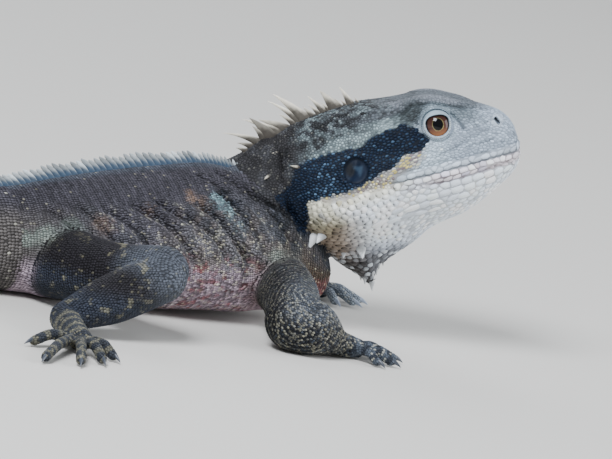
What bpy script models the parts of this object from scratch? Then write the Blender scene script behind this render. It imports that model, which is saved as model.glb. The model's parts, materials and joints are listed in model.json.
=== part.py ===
"""Eastern water dragon, an adult male, as a still life-size model resting on a level floor.

The animal lies on its belly with the chest propped on the forelimbs and the head raised.
The snout points along +X, the animal's left side is +Y, and the floor is z = 0.
Sizes below are in millimetres; MM turns them to metres where the meshes are made.
"""

import math
from typing import NamedTuple

import bmesh
import bpy
import numpy as np
from mathutils import Vector

MM = 0.001
GAP = 0.3  # clearance between two nodes that meet
WELD = 0.003  # points closer than this are one point


class Station(NamedTuple):
    """One cross-section of the body: its centre, the way it faces, and its size."""

    x: float
    y: float
    z: float
    pitch: float
    yaw: float
    up: float
    down: float
    half: float
    top_power: float
    low_power: float


class HeadStation(NamedTuple):
    """One cross-section of the head: heights are measured in the head's own frame."""

    s: float
    top: float
    bottom: float
    half: float
    widest: float
    top_power: float
    low_power: float


class Limb(NamedTuple):
    """One limb segment: points along its axis and the radius at each."""

    path: tuple
    radii: tuple


class Swell(NamedTuple):
    """A soft push on the head's surface, on both sides, round a place of the head's frame."""

    centre: tuple
    radii: tuple
    push: tuple


class Digits(NamedTuple):
    """The toes of one hand or foot, from the outermost on the animal's right to the left."""

    root: tuple
    headings: tuple
    lengths: tuple
    radius: float
    spread: float


# Head: a frame of its own, s along the snout, y to the left, t towards the crown
HEAD_ORIGIN = np.array([-20.0, 0.0, 63.0])  # midway between the two ear drums
HEAD_PITCH = 22.0
HEAD_SIDES = 26
HEAD_STATIONS = [
    HeadStation(60.4, -1.2, -4.4, 1.6, -2.8, 2.0, 2.0),
    HeadStation(60.0, 2.0, -8.8, 4.6, -3.4, 2.1, 2.0),
    HeadStation(58.2, 6.4, -12.6, 7.6, -4.4, 2.3, 2.1),
    HeadStation(55.0, 9.9, -15.6, 9.6, -5.4, 2.4, 2.2),
    HeadStation(51.0, 12.2, -18.4, 11.4, -5.8, 2.5, 2.2),
    HeadStation(46.0, 14.6, -21.4, 13.4, -6.0, 2.5, 2.2),
    HeadStation(40.0, 17.6, -24.6, 15.6, -6.4, 2.6, 2.1),
    HeadStation(34.0, 20.2, -26.8, 17.6, -6.8, 2.7, 2.0),
    HeadStation(28.0, 21.3, -28.2, 19.3, -7.6, 2.7, 1.9),
    HeadStation(23.0, 21.3, -29.8, 20.4, -8.6, 2.6, 1.75),
    HeadStation(16.0, 21.2, -34.0, 21.8, -9.8, 2.4, 1.55),
    HeadStation(8.0, 21.2, -37.6, 23.2, -11.4, 2.3, 1.4),
    HeadStation(1.5, 21.0, -41.0, 24.2, -12.8, 2.2, 1.25),
    HeadStation(-2.5, 20.7, -47.0, 24.6, -13.2, 2.1, 1.05),
    HeadStation(-6.0, 20.2, -43.4, 24.4, -13.0, 2.1, 1.15),
    HeadStation(-12.0, 19.2, -37.8, 23.6, -11.5, 2.0, 1.4),
    HeadStation(-17.0, 18.2, -32.0, 22.4, -9.4, 2.0, 1.7),
    HeadStation(-21.0, 17.2, -27.0, 21.2, -7.5, 2.0, 2.0),
]
HEAD_SWELLS = [
    Swell((31, 13.0, 20.0), (13, 4.5, 6), (0, 1.2, 1.9)),  # ridge over the eye
    Swell((45, 9.0, 14.5), (10, 3.5, 4), (0, 0.9, 1.0)),  # ridge from the eye to the snout
    Swell((32, 19.0, 8.5), (8, 7, 6), (0, -2.4, 0)),  # hollow that the eye sits in
    Swell((45, 14.0, 4.0), (6, 6, 5), (0, -1.1, 0)),  # hollow before the eye
    Swell((12, 21.0, 4.0), (9, 8, 6), (0, -1.8, 0)),  # hollow behind the eye
    Swell((-5, 25.0, -18.0), (13, 12, 9), (0, 3.4, -1.0)),  # jowl
    Swell((2, 11.0, 19.0), (12, 6, 5), (0, 0.4, 1.0)),  # back of the skull
    Swell((29, 0.0, 22.0), (12, 6, 5), (0, 0, -0.35)),  # dip between the brows
]
HEAD_NOSE_LENGTH = 4.5  # the snout's round end, which has the closest rings
HEAD_RING_STEP = 3.4
MOUTH_LEVEL = -5.8  # t of the mouth line at the snout
MOUTH_FALL = 0.04  # how far the mouth line drops for each mm towards its corner
MOUTH_CORNER = 13.0
MOUTH_GAPE = 0.6
MOUTH_DEPTH = 1.3
MOUTH_FRONT = (4.0, 1.8)  # how far behind the snout the blade's flank ends and its middle starts
MOUTH_MIDDLE = 2.5  # half-width of the blade's middle at the snout
MOUTH_OUTSIDE = 34.0  # half-width that lies clear of the head
MOUTH_POINTS = 9
LIP_RADIUS = 1.0
LIP_SINK = 0.35
LIP_RISE = 1.25  # each lip's middle above or below the mouth line
LIP_ENDS = (2.0, 1.6)  # how far a lip stays from the mouth's corner and the snout
LIP_SIDES = 5
EYE_CENTRE = (32.0, 10.6, 9.2)
EYE_RADIUS = 6.6
EYE_AXIS = (0.16, 0.97, 0.18)
LID_RADIUS = 5.3
LID_THICKNESS = 1.25
LID_OFFSET = 3.9
LID_FACETS = (16, 5)  # round the lid, and round its thickness
EYE_FACETS = (16, 9)  # round an eyeball, and from pole to pole
NOSTRIL = (54.2, 6.4, 7.2)
NOSTRIL_RADII = (2.3, 1.7, 1.9)
NOSTRIL_PIT = (55.1, 8.0, 7.7)
NOSTRIL_PIT_RADII = (1.1, 1.3, 0.9)
NOSTRIL_FACETS = (10, 6)
PIT_FACETS = (8, 5)
EAR_DRUM = (0.8, 22.6, -0.6)
EAR_DRUM_RADII = (4.5, 1.5, 4.5)
EAR_DRUM_FACETS = (12, 6)

NECK_STATIONS = [
    Station(-45.6, -3.5, 48.0, 25, 6, 19.0, 21.0, 20.0, 1.9, 2.0),
    Station(-53.0, -8.5, 41.5, 27, 12, 19.0, 21.0, 20.5, 1.8, 2.0),
    Station(-66.0, -16.0, 34.0, 27, 18, 17.5, 17.0, 19.0, 1.8, 2.0),
]
TRUNK_STATIONS = [
    Station(-20.5, -4.0, 20.0, 4, 8, 2.0, 2.0, 3.0, 2.0, 2.0),
    Station(-22.5, -4.3, 20.5, 4, 8, 7.5, 8.0, 9.0, 2.0, 2.0),
    Station(-28.0, -5.0, 22.0, 5, 9, 13.5, 14.0, 15.5, 2.0, 2.0),
    Station(-38.0, -8.0, 24.5, 8, 12, 19.5, 20.0, 21.0, 1.9, 2.1),
    Station(-51.0, -13.0, 27.0, 12, 17, 25.0, 24.6, 25.5, 1.8, 2.2),
    Station(-66.0, -19.5, 27.8, 14, 22, 27.6, 27.6, 28.6, 1.7, 2.3),
    Station(-86.0, -30.0, 26.2, 14, 28, 26.0, 27.3, 30.0, 1.65, 2.4),
    Station(-106.0, -41.5, 23.4, 13, 31, 24.2, 24.7, 28.0, 1.65, 2.4),
    Station(-123.0, -51.8, 20.9, 11, 32, 22.0, 21.9, 23.5, 1.7, 2.3),
    Station(-139.0, -61.0, 18.4, 8, 30, 19.6, 18.9, 18.5, 1.8, 2.2),
]
BODY_SIDES = 20
NECK_RINGS = 10
CHEST_RINGS = 7  # over the round end of the chest
CHEST_LENGTH = 22.0
TRUNK_FROM = 28.0  # where the even rings of the trunk begin
TRUNK_RINGS = 15
CUTTER_RINGS = 22
CUTTER_REACH = 60.0  # how far past the pelvis the trunk's cutter goes

# Tail: heading in degrees and half-sizes at distances from the pelvis; it lies on the floor
TAIL_HEADINGS = [(0, 210), (70, 199), (150, 182), (260, 150), (360, 116), (450, 84), (545, 58)]
TAIL_SIZES = [
    (20, 17.8, 17.5, 16.2),
    (50, 15.4, 15.3, 13.4),
    (95, 13.0, 12.9, 10.6),
    (160, 10.2, 10.2, 8.4),
    (240, 7.8, 7.8, 6.4),
    (330, 5.6, 5.6, 4.8),
    (430, 3.6, 3.6, 3.2),
    (520, 1.9, 1.9, 1.8),
    (541, 1.3, 1.3, 1.2),
    (545, 0.6, 0.6, 0.6),
]
TAIL_CUTS = [0.0, 90.0, 195.0, 320.0, 545.0]
TAIL_SIDES = 12
TAIL_RINGS = 13
TAIL_STEP = 5.0
TAIL_PITCH = 8.0  # slope of its first section, which fades over TAIL_LEVEL
TAIL_LEVEL = 60.0
TAIL_POWERS = (1.8, 2.2)  # roundness of its upper and lower half
FLOOR_DIP = 0.5  # how far the tail is pressed flat

ARMS = {
    "right": {
        "upper_arm": Limb(((-43, -18, 19), (-33, -42, 15.5), (-30, -60, 12)), (11.6, 10.9, 10.2)),
        "forearm": Limb(((-30, -62, 10.4), (-24, -60.5, 9.8), (-13.5, -54, 5.2)), (10.4, 10.4, 5.4)),
        "hand": Limb(((-13.5, -54, 4.8), (-9.5, -51.5, 4.2), (-5.5, -49, 3.6)), (5.0, 4.6, 3.8)),
    },
    "left": {
        "upper_arm": Limb(((-44, 6, 22), (-49, 24, 20), (-53, 38, 14)), (11.8, 10.6, 8.8)),
        "forearm": Limb(((-53, 40, 11.5), (-45, 45, 10.5), (-32, 50, 5.2)), (8.8, 8.8, 5.0)),
        "hand": Limb(((-32, 50, 4.8), (-27, 51, 4.2), (-22, 52, 3.6)), (5.0, 4.6, 3.8)),
    },
}
LEGS = {
    "right": {
        "thigh": Limb(((-121, -62, 14.5), (-97, -84, 18.5), (-79, -94, 24.5)), (14.0, 11.4, 9.6)),
        "shank": Limb(((-79, -96.5, 23), (-92, -105, 15), (-109, -117, 6.0)), (9.4, 9.2, 5.6)),
        "foot": Limb(((-109, -117, 5.4), (-105, -128, 4.6), (-101, -140, 3.8)), (5.6, 4.9, 4.4)),
    },
    "left": {
        "thigh": Limb(((-140, -48, 16), (-153, -22, 18), (-161, -2, 20)), (14.0, 11.6, 9.4)),
        "shank": Limb(((-163, 0, 18), (-177, -7, 13), (-195, -16, 6.0)), (9.2, 9.2, 5.6)),
        "foot": Limb(((-195, -16, 5.4), (-203, -8, 4.6), (-212, 1, 3.8)), (5.6, 4.9, 4.4)),
    },
}
LIMB_SIDES = 12
LIMB_STEPS = 5
LIMB_END_LEANS = (14, 46)  # degrees round a limb's end where its rings stand
DIGIT_SIDES = 6
DIGIT_STEPS = 3
DIGIT_SUNK = 2.0  # how deep a toe is rooted
DIGIT_ARCH = 0.5  # rise of a toe's middle, in radii
DIGIT_TAPER = (1.0, 0.92, 0.85)
DIGITS = {
    "right_hand": Digits((-6, -49.3, 3.2), (-34, -6, 20, 42, 84), (9, 13, 15, 14, 9.5), 2.2, 1.7),
    "left_hand": Digits((-22.5, 52, 3.2), (-50, -12, 8, 30, 66), (9, 13, 15, 14, 9.5), 2.2, 1.7),
    "right_foot": Digits((-101.5, -139, 3.3), (-138, -102, -84, -66, -42), (15, 34, 27, 19, 12), 2.4, 1.9),
    "left_foot": Digits((-211.5, 0.5, 3.3), (62, 118, 134, 152, 182), (15, 34, 27, 19, 12), 2.4, 1.9),
}
CLAW_LENGTH = 5.6
CLAW_RADIUS = 1.25
CLAW_TIP_RADIUS = 0.15
CLAW_TAPER = 0.7
CLAW_SUNK = 0.1
CLAW_RISE = 1.5  # a claw's height over its tip is RISE x share - HOOK x share squared
CLAW_HOOK = 2.75
CLAW_CLEARANCE = 0.3
CLAW_SIDES = 5
CLAW_SHARES = (0.0, 0.35, 0.7, 1.0)  # where along a claw its sections stand

# Crest: s of each spine on the head, and its height
HEAD_CREST = [(1.5, 6.5), (-4.0, 7.5), (-9.0, 7.5), (-15.5, 12.5)]
HEAD_CREST_WIDTH = 3.8
# Crest of the neck: distance from the head's end, height and width
NECK_CREST = [(3.4, 12.5, 4.2), (7.6, 8.5, 3.8), (13.5, 9.5, 3.4)]
NAPE_THICKNESS = 1.8
BACK_CREST_START = 43.0
BACK_CREST_STEP = 4.7
BACK_CREST_HEIGHT = 2.7
BACK_CREST_WIDTH = 3.0
BACK_CREST_THICKNESS = 1.3
BACK_CREST_FIRST = 2.4  # how many times as tall the first spine of the back is
BACK_CREST_CLEAR = (2.2, 3.0)  # distance of a spine from the ends of its node
TAIL_CREST_END = 185.0
TAIL_CREST_FADE = 0.45
HEAD_LEAN = 0.35  # how far each crest's spines lean back, in shares of their height
NECK_LEAN = 0.55
BACK_LEAN = 0.4
# White conical scales behind and under the jaw: s, t, length
CHEEK_SPINES = [(-18.0, -22.4, 5.4), (-14.2, -22.0, 4.8), (-2.9, -30.2, 3.8)]
CHEEK_SPINE_WIDTHS = (2.6, 2.4)
CHEEK_SPINE_WAY = (-0.5, 0.75, -0.4)
CHEEK_SPINE_LEAN = 0.2
SPINE_ROOT = 1.6  # how deep a long spine is sunk
SPINE_ROOT_SHARE = 0.3  # and at most, as a share of its length
SPINE_DROOP = 0.25
SPINE_SPREAD = (0.93, 1.07)  # range of the spines' heights
LONG_SPINE_FROM = 4.0  # a spine this long takes one more ring
LONG_SPINE = ((0.35, 0.78), (0.72, 0.42), (1.0, 0.1))  # share of the length, share of the width
SHORT_SPINE = ((0.5, 0.66), (1.0, 0.12))
SPINE_SEED = 7

PAINTS = {
    "head": ("8f9aa3", 0.62),
    "neck": ("55585f", 0.66),
    "torso": ("4c4b53", 0.68),
    "tail": ("47474f", 0.68),
    "limb": ("3f424b", 0.66),
    "claw": ("3a3a42", 0.35),
    "eye": ("8a4a2c", 0.08),
}


def smooth_values(knots, values, at):
    """Values at the places asked for, on a curve through the knots that never overshoots."""
    knots = np.asarray(knots, float)
    values = np.asarray(values, float).reshape(len(knots), -1)
    step = np.diff(knots)[:, None]
    slope = np.diff(values, axis=0) / step
    same_way = slope[:-1] * slope[1:] > 0
    near = 2 * step[1:] + step[:-1]
    far = step[1:] + 2 * step[:-1]
    before = np.where(same_way, slope[:-1], 1.0)
    after = np.where(same_way, slope[1:], 1.0)
    tangent = np.zeros_like(values)
    tangent[1:-1] = np.where(same_way, (near + far) / (near / before + far / after), 0.0)
    tangent[0] = slope[0]
    tangent[-1] = slope[-1]
    at = np.clip(np.asarray(at, float), knots[0], knots[-1])
    low = np.clip(np.searchsorted(knots, at, side="right") - 1, 0, len(knots) - 2)
    width = step[low]
    share = (at - knots[low])[:, None] / width
    square = share**2
    cube = share**3
    return (
        (2 * cube - 3 * square + 1) * values[low]
        + (cube - 2 * square + share) * width * tangent[low]
        + (3 * square - 2 * cube) * values[low + 1]
        + (cube - square) * width * tangent[low + 1]
    )


def unit(vector):
    """The vector at length one."""
    vector = np.asarray(vector, float)
    return vector / np.linalg.norm(vector)


def directions(pitch, yaw):
    """Forward, left and up directions of a section that faces that way, in degrees."""
    pitch = math.radians(pitch)
    yaw = math.radians(yaw)
    level = math.cos(pitch)
    forward = np.array([level * math.cos(yaw), level * math.sin(yaw), math.sin(pitch)])
    left = np.array([-math.sin(yaw), math.cos(yaw), 0.0])
    return forward, left, np.cross(forward, left)


HEAD_AXES = np.array(directions(HEAD_PITCH, 0.0))


def from_head(points):
    """Points of the head's frame (s, y, t) in the model's frame."""
    return HEAD_ORIGIN + np.asarray(points, float) @ HEAD_AXES


def to_head(points):
    """Model points in the head's frame (s, y, t)."""
    return (points - HEAD_ORIGIN) @ HEAD_AXES.T


def head_station(row):
    """A head row as a station of the model's frame."""
    centre = from_head([row.s, 0.0, row.widest])
    up = row.top - row.widest
    down = row.widest - row.bottom
    return Station(*centre, HEAD_PITCH, 0.0, up, down, row.half, row.top_power, row.low_power)


def superellipse(turns, top_power, low_power):
    """Sideways and upward shares of a rounded section at the angles asked for."""
    cosine = np.cos(turns)
    sine = np.sin(turns)
    power = 2 / np.where(sine >= 0, top_power, low_power)
    return np.sign(cosine) * np.abs(cosine) ** power, np.sign(sine) * np.abs(sine) ** power


class Form:
    """A smooth tube through stations, from which rings and surface points are read."""

    def __init__(self, stations, sculpt=None):
        self.rows = np.array(stations, float)
        steps = np.linalg.norm(np.diff(self.rows[:, :3], axis=0), axis=1)
        self.places = np.concatenate([[0.0], np.cumsum(steps)])
        self.length = self.places[-1]
        self.sculpt = sculpt

    def station(self, place):
        """The station at a distance along the form."""
        return Station(*smooth_values(self.places, self.rows, [place])[0])

    def around(self, place, turns, grow=0.0):
        """Surface points at one place: angle 0 is the left side, a quarter turn the top."""
        row = self.station(place)
        _, left, up = directions(row.pitch, row.yaw)
        across, risen = superellipse(turns, row.top_power, row.low_power)
        height = np.where(risen >= 0, row.up, row.down) + grow
        centre = np.array([row.x, row.y, row.z])
        points = centre + np.outer(across * (row.half + grow), left) + np.outer(risen * height, up)
        return self.sculpt(points) if self.sculpt else points

    def ring(self, place, sides, grow=0.0, shift=0.0):
        """A closed ring of surface points, moved forward by shift."""
        row = self.station(place)
        turns = np.arange(sides) * 2 * math.pi / sides
        return self.around(place, turns, grow) + shift * directions(row.pitch, row.yaw)[0]

    def rings(self, places, sides, grow=0.0, shifts=(0.0, 0.0)):
        """Rings at the places, the first and last shifted, pressed flat on the floor."""
        rings = [self.ring(place, sides, grow) for place in places]
        rings[0] = self.ring(places[0], sides, grow, shifts[0])
        rings[-1] = self.ring(places[-1], sides, grow, shifts[1])
        return [pressed(ring) for ring in rings]

    def ridge(self, place):
        """The highest point at one place, with the directions up and back along the ridge."""
        top = self.around(place, np.array([math.pi / 2]))[0]
        ahead = self.around(max(place - 1.0, 0.0), np.array([math.pi / 2]))[0]
        behind = self.around(min(place + 1.0, self.length), np.array([math.pi / 2]))[0]
        back = unit(behind - ahead)
        left = directions(*self.station(place)[3:5])[1]
        return top, unit(np.cross(left, back)), back


def pressed(points):
    """The points, with whatever dips below the floor laid flat on it."""
    points = np.array(points, float)
    points[:, 2] = np.maximum(points[:, 2], 0.0)
    return points


def sculpt_head(points):
    """Gives the plain head its brows, cheeks, jowls and temples."""
    local = to_head(points)
    for swell in HEAD_SWELLS:
        for side in (1, -1):
            mirror = np.array([1, side, 1])
            offset = (local - np.array(swell.centre) * mirror) / np.array(swell.radii)
            weight = np.exp(-(offset**2).sum(axis=1))
            local = local + weight[:, None] * np.array(swell.push) * mirror
    return from_head(local)


def tail_stations():
    """The tail's stations, by stepping along its headings from the last trunk station."""
    places = np.arange(0.0, TAIL_CUTS[-1] + TAIL_STEP / 2, TAIL_STEP)
    knots, headings = zip(*TAIL_HEADINGS)
    heading = np.radians(smooth_values(knots, headings, places)[:, 0])
    moves = np.stack([np.cos(heading), np.sin(heading)], axis=1) * TAIL_STEP
    start = np.array(TRUNK_STATIONS[-1][:2], float)
    track = start + np.vstack([[0.0, 0.0], np.cumsum(moves[:-1], axis=0)])
    rows = []
    for distance in places[1:]:
        index = int(round(distance / TAIL_STEP))
        sizes = [(0, *TRUNK_STATIONS[-1][5:8])] + TAIL_SIZES
        known = [row[0] for row in sizes]
        up, down, half = smooth_values(known, [row[1:] for row in sizes], [distance])[0]
        pitch = TAIL_PITCH * max(0.0, 1 - distance / TAIL_LEVEL)
        yaw = math.degrees(heading[index]) - 180.0
        height = down - FLOOR_DIP
        rows.append(Station(*track[index], height, pitch, yaw, up, down, half, *TAIL_POWERS))
    return rows


def loft_mesh(rings):
    """Points and faces of the closed tube through rings."""
    sides = len(rings[0])
    points = np.vstack(rings)
    faces = []
    for level in range(len(rings) - 1):
        low = level * sides
        high = low + sides
        for corner in range(sides):
            after = (corner + 1) % sides
            faces.append((low + corner, low + after, high + after, high + corner))
    faces.append(tuple(range(sides)))
    faces.append(tuple(range(len(points) - sides, len(points))))
    return points, faces


def closed_object(name, form, collection, paint=None):
    """A closed object of triangles, faces out, from a bmesh, which is freed."""
    mesh = bpy.data.meshes.new(name)
    bmesh.ops.remove_doubles(form, verts=form.verts, dist=WELD * MM)
    bmesh.ops.triangulate(form, faces=form.faces)
    bmesh.ops.recalc_face_normals(form, faces=form.faces)
    if form.calc_volume(signed=True) < 0:
        bmesh.ops.reverse_faces(form, faces=form.faces)
    form.to_mesh(mesh)
    form.free()
    if paint:
        mesh.materials.append(paint)
    made = bpy.data.objects.new(name, mesh)
    collection.objects.link(made)
    return made


def mesh_object(name, points, faces, collection, paint=None):
    """A closed object from points in millimetres and faces."""
    mesh = bpy.data.meshes.new(name)
    mesh.from_pydata([Vector(point) * MM for point in points], [], faces)
    form = bmesh.new()
    form.from_mesh(mesh)
    bpy.data.meshes.remove(mesh)
    return closed_object(name, form, collection, paint)


def ball_object(name, centre, radii, facets, collection, paint=None):
    """An ellipsoid at a place of the head's frame, with its radii along that frame's axes."""
    form = bmesh.new()
    bmesh.ops.create_uvsphere(form, u_segments=facets[0], v_segments=facets[1], radius=1.0)
    for vertex in form.verts:
        local = np.array(centre, float) + np.array(vertex.co) * np.array(radii)
        vertex.co = Vector(from_head(local)) * MM
    return closed_object(name, form, collection, paint)


def limb_rings(limb, sides, steps, grow=0.0):
    """Rings of a limb segment with rounded ends."""
    path = np.array(limb.path, float)
    walked = np.concatenate([[0.0], np.cumsum(np.linalg.norm(np.diff(path, axis=0), axis=1))])
    total = walked[-1]
    roundings = np.radians(LIMB_END_LEANS)
    before = [(-(limb.radii[0] + grow) * math.cos(lean), math.sin(lean)) for lean in roundings]
    between = [(total * step / steps, 1.0) for step in range(steps + 1)]
    beyond = [(total + (limb.radii[-1] + grow) * math.cos(lean), math.sin(lean)) for lean in roundings]
    places = before + between + beyond[::-1]
    at = np.array([place for place, _ in places])
    inside = np.clip(at, 0.0, total)
    centres = smooth_values(walked, path, inside)
    forward = smooth_values(walked, path, inside + 0.5) - smooth_values(walked, path, inside - 0.5)
    forward /= np.linalg.norm(forward, axis=1)[:, None]
    centres = centres + forward * (at - inside)[:, None]
    radii = smooth_values(walked, limb.radii, inside)[:, 0]
    turns = np.arange(sides) * 2 * math.pi / sides
    rings = []
    for centre, way, radius, (_, share) in zip(centres, forward, radii, places):
        side = unit(np.cross([0.0, 0.0, 1.0], way))
        up = np.cross(way, side)
        reach = (radius + grow) * share
        ring = centre + reach * (np.outer(np.cos(turns), side) + np.outer(np.sin(turns), up))
        rings.append(pressed(ring))
    return rings


def digit_limbs(digits):
    """Each toe as a tube that arches from the knuckles to its tip."""
    middle = math.radians(np.mean(digits.headings[1:4]))
    across = np.array([-math.sin(middle), math.cos(middle), 0.0])
    made = []
    for order, (heading, length) in enumerate(zip(digits.headings, digits.lengths)):
        angle = math.radians(heading)
        way = np.array([math.cos(angle), math.sin(angle), 0.0])
        root = np.array(digits.root) + across * (order - 2) * digits.spread
        thick = digits.radius
        arch = root + way * length / 2 + np.array([0, 0, thick * DIGIT_ARCH])
        tip = root + way * length
        tip[2] = thick * DIGIT_TAPER[-1]
        radii = tuple(thick * share for share in DIGIT_TAPER)
        limb = Limb((tuple(root - way * DIGIT_SUNK), tuple(arch), tuple(tip)), radii)
        made.append((limb, tip, way))
    return made


def claw_rings(tip, way, grow=0.0, shares=CLAW_SHARES):
    """Rings of a hooked claw from inside a toe's tip down to the floor."""
    side = np.cross([0.0, 0.0, 1.0], way)
    turns = np.arange(CLAW_SIDES) * 2 * math.pi / CLAW_SIDES
    rings = []
    for share in shares:
        radius = CLAW_RADIUS * (1 - share) ** CLAW_TAPER + CLAW_TIP_RADIUS + grow
        ends = -1 if share == 0 else 1 if share == 1 else 0
        along = share * CLAW_LENGTH + grow * ends
        height = tip[2] + CLAW_RISE * share - CLAW_HOOK * share**2
        centre = tip + way * (along - CLAW_SUNK)
        centre = np.array([centre[0], centre[1], max(height, CLAW_CLEARANCE)])
        round_it = np.outer(np.cos(turns), side) + np.outer(np.sin(turns), [0, 0, 1])
        rings.append(pressed(centre + radius * round_it))
    return rings


def spine_rings(root, up, back, length, width, thickness, lean):
    """Rings of a flattened spine, sunk in its root, that bends back as it rises."""
    side = np.cross(up, back)
    rings = []
    sunk = -min(SPINE_ROOT_SHARE, SPINE_ROOT / length)
    profile = LONG_SPINE if length > LONG_SPINE_FROM else SHORT_SPINE
    for share, scale in ((sunk, 1.0), *profile):
        rise = max(share, 0.0)
        centre = root + up * length * (share - SPINE_DROOP * rise**2)
        centre = centre + back * length * lean * rise**1.4
        corners = [
            back * width / 2,
            side * thickness / 2,
            -back * width / 2,
            -side * thickness / 2,
        ]
        rings.append(np.array([centre + scale * corner for corner in corners]))
    return rings


def finish_paint(name, colour, roughness):
    """A principled material from an sRGB hex colour."""
    paint = bpy.data.materials.new(name)
    paint.use_nodes = True
    shader = paint.node_tree.nodes["Principled BSDF"]
    shares = [int(colour[place : place + 2], 16) / 255 for place in (0, 2, 4)]
    linear = [c / 12.92 if c <= 0.04045 else ((c + 0.055) / 1.055) ** 2.4 for c in shares]
    shader.inputs["Base Color"].default_value = (*linear, 1.0)
    shader.inputs["Roughness"].default_value = roughness
    shader.inputs["Metallic"].default_value = 0.0
    return paint


def keep_largest(thing):
    """Keeps only the largest closed surface of an object."""
    form = bmesh.new()
    form.from_mesh(thing.data)
    bmesh.ops.remove_doubles(form, verts=form.verts, dist=WELD * MM)
    left = set(form.verts)
    groups = []
    while left:
        group = [left.pop()]
        for vertex in group:
            for edge in vertex.link_edges:
                other = edge.other_vert(vertex)
                if other in left:
                    left.discard(other)
                    group.append(other)
        groups.append(group)
    groups.sort(key=len, reverse=True)
    spare = [vertex for group in groups[1:] for vertex in group]
    bmesh.ops.delete(form, geom=spare, context="VERTS")
    bmesh.ops.triangulate(form, faces=form.faces)
    form.to_mesh(thing.data)
    form.free()


class Workshop:
    """Holds the collections and the paints, and makes, joins and cuts the nodes."""

    def __init__(self):
        scene = bpy.context.scene.collection
        self.parts = bpy.data.collections.new("eastern_water_dragon")
        self.tools = bpy.data.collections.new("cutters")
        self.tools.hide_render = True
        scene.children.link(self.parts)
        scene.children.link(self.tools)
        self.paints = {name: finish_paint(name, *looks) for name, looks in PAINTS.items()}

    def node(self, name, rings, paint):
        """A closed node from rings."""
        return mesh_object(name, *loft_mesh(rings), self.parts, self.paints[paint])

    def tool(self, rings):
        """A closed helper from rings, for the next Boolean."""
        return mesh_object("helper", *loft_mesh(rings), self.tools)

    def ball_tool(self, centre, radii, facets):
        """An ellipsoid helper at a place of the head's frame, for the next Boolean."""
        return ball_object("helper", centre, radii, facets, self.tools)

    def torus_tool(self, centre, axis, radius, thickness, facets):
        """A torus helper round an axis, for the next Boolean."""
        bpy.ops.mesh.primitive_torus_add(
            major_segments=facets[0],
            minor_segments=facets[1],
            major_radius=radius * MM,
            minor_radius=thickness * MM,
            location=Vector(centre) * MM,
            rotation=Vector(axis).to_track_quat("Z", "Y").to_euler(),
        )
        made = bpy.context.active_object
        for holder in list(made.users_collection):
            holder.objects.unlink(made)
        self.tools.objects.link(made)
        return made

    def apply(self, thing, operation, solver):
        """One Boolean with every helper, applied; the helpers are removed."""
        step = thing.modifiers.new(operation.lower(), "BOOLEAN")
        step.operation = operation
        step.operand_type = "COLLECTION"
        step.collection = self.tools
        step.solver = solver
        graph = bpy.context.evaluated_depsgraph_get()
        graph.update()
        mesh = bpy.data.meshes.new_from_object(thing.evaluated_get(graph))
        thing.modifiers.clear()
        thing.data = mesh
        for used in list(self.tools.objects):
            bpy.data.objects.remove(used)
        keep_largest(thing)

    def join(self, thing, solver="EXACT"):
        """Fuses the helpers into a node."""
        self.apply(thing, "UNION", solver)

    def cut(self, thing, solver="EXACT"):
        """Cuts the helpers out of a node."""
        self.apply(thing, "DIFFERENCE", solver)


def head_side(form, s, t):
    """How far out the head's surface is at s and t of its own frame."""
    rows = form.rows
    place = np.interp(-s, -to_head(rows[:, :3])[:, 0], form.places)
    turns = np.linspace(-math.pi / 2, math.pi / 2, 61)
    local = to_head(form.around(place, turns))
    return float(np.interp(t, local[:, 2], local[:, 1]))


def mouth_line(s, rise=0.0):
    """The t of the mouth line at s."""
    return MOUTH_LEVEL - (HEAD_STATIONS[0].s - s) * MOUTH_FALL + rise


def mouth_blade(form):
    """Rings of a thin C-shaped slab that opens the line of the mouth round the snout."""
    snout = HEAD_STATIONS[0].s
    flank_end = snout - MOUTH_FRONT[0]
    middle = snout - MOUTH_FRONT[1]
    beyond = snout + MOUTH_OUTSIDE / 4
    places = np.linspace(MOUTH_CORNER, flank_end, MOUTH_POINTS)
    inner = [(s, head_side(form, s, mouth_line(s)) - MOUTH_DEPTH) for s in places]
    outline = [(s, -y) for s, y in inner]
    outline += [(middle, -MOUTH_MIDDLE), (middle, MOUTH_MIDDLE)]
    outline += inner[::-1]
    outline += [(MOUTH_CORNER, MOUTH_OUTSIDE), (beyond, MOUTH_OUTSIDE)]
    outline += [(beyond, -MOUTH_OUTSIDE), (MOUTH_CORNER, -MOUTH_OUTSIDE)]
    return [
        from_head([(s, y, mouth_line(s, rise)) for s, y in outline])
        for rise in (MOUTH_GAPE / 2, -MOUTH_GAPE / 2)
    ]


def lip_rings(form, side, rise):
    """Rings of one lip's roll along the mouth line, half sunk in the jaw."""
    front = HEAD_STATIONS[0].s
    turns = np.arange(LIP_SIDES) * 2 * math.pi / LIP_SIDES
    rings = []
    for s in np.linspace(MOUTH_CORNER + LIP_ENDS[0], front - LIP_ENDS[1], MOUTH_POINTS):
        level = mouth_line(s, rise)
        out = head_side(form, s, level) - LIP_SINK
        behind = head_side(form, s - 1.0, level) - LIP_SINK
        centre = np.array([s, out * side, level])
        way = unit([1.0, (out - behind) * side, 0.0])
        across = unit(np.cross(way, [0.0, 0.0, 1.0]))
        round_it = np.outer(np.cos(turns), across) + np.outer(np.sin(turns), [0, 0, 1])
        rings.append(from_head(centre + LIP_RADIUS * round_it))
    return rings


def add_crest(workshop, form, places, heights, widths, thickness, lean, draw):
    """Adds the helpers of a row of spines along a form's ridge."""
    for place, height, width in zip(places, heights, widths):
        top, up, back = form.ridge(place)
        tall = height * draw.uniform(*SPINE_SPREAD)
        workshop.tool(spine_rings(top, up, back, tall, width, thickness, lean))


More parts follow.
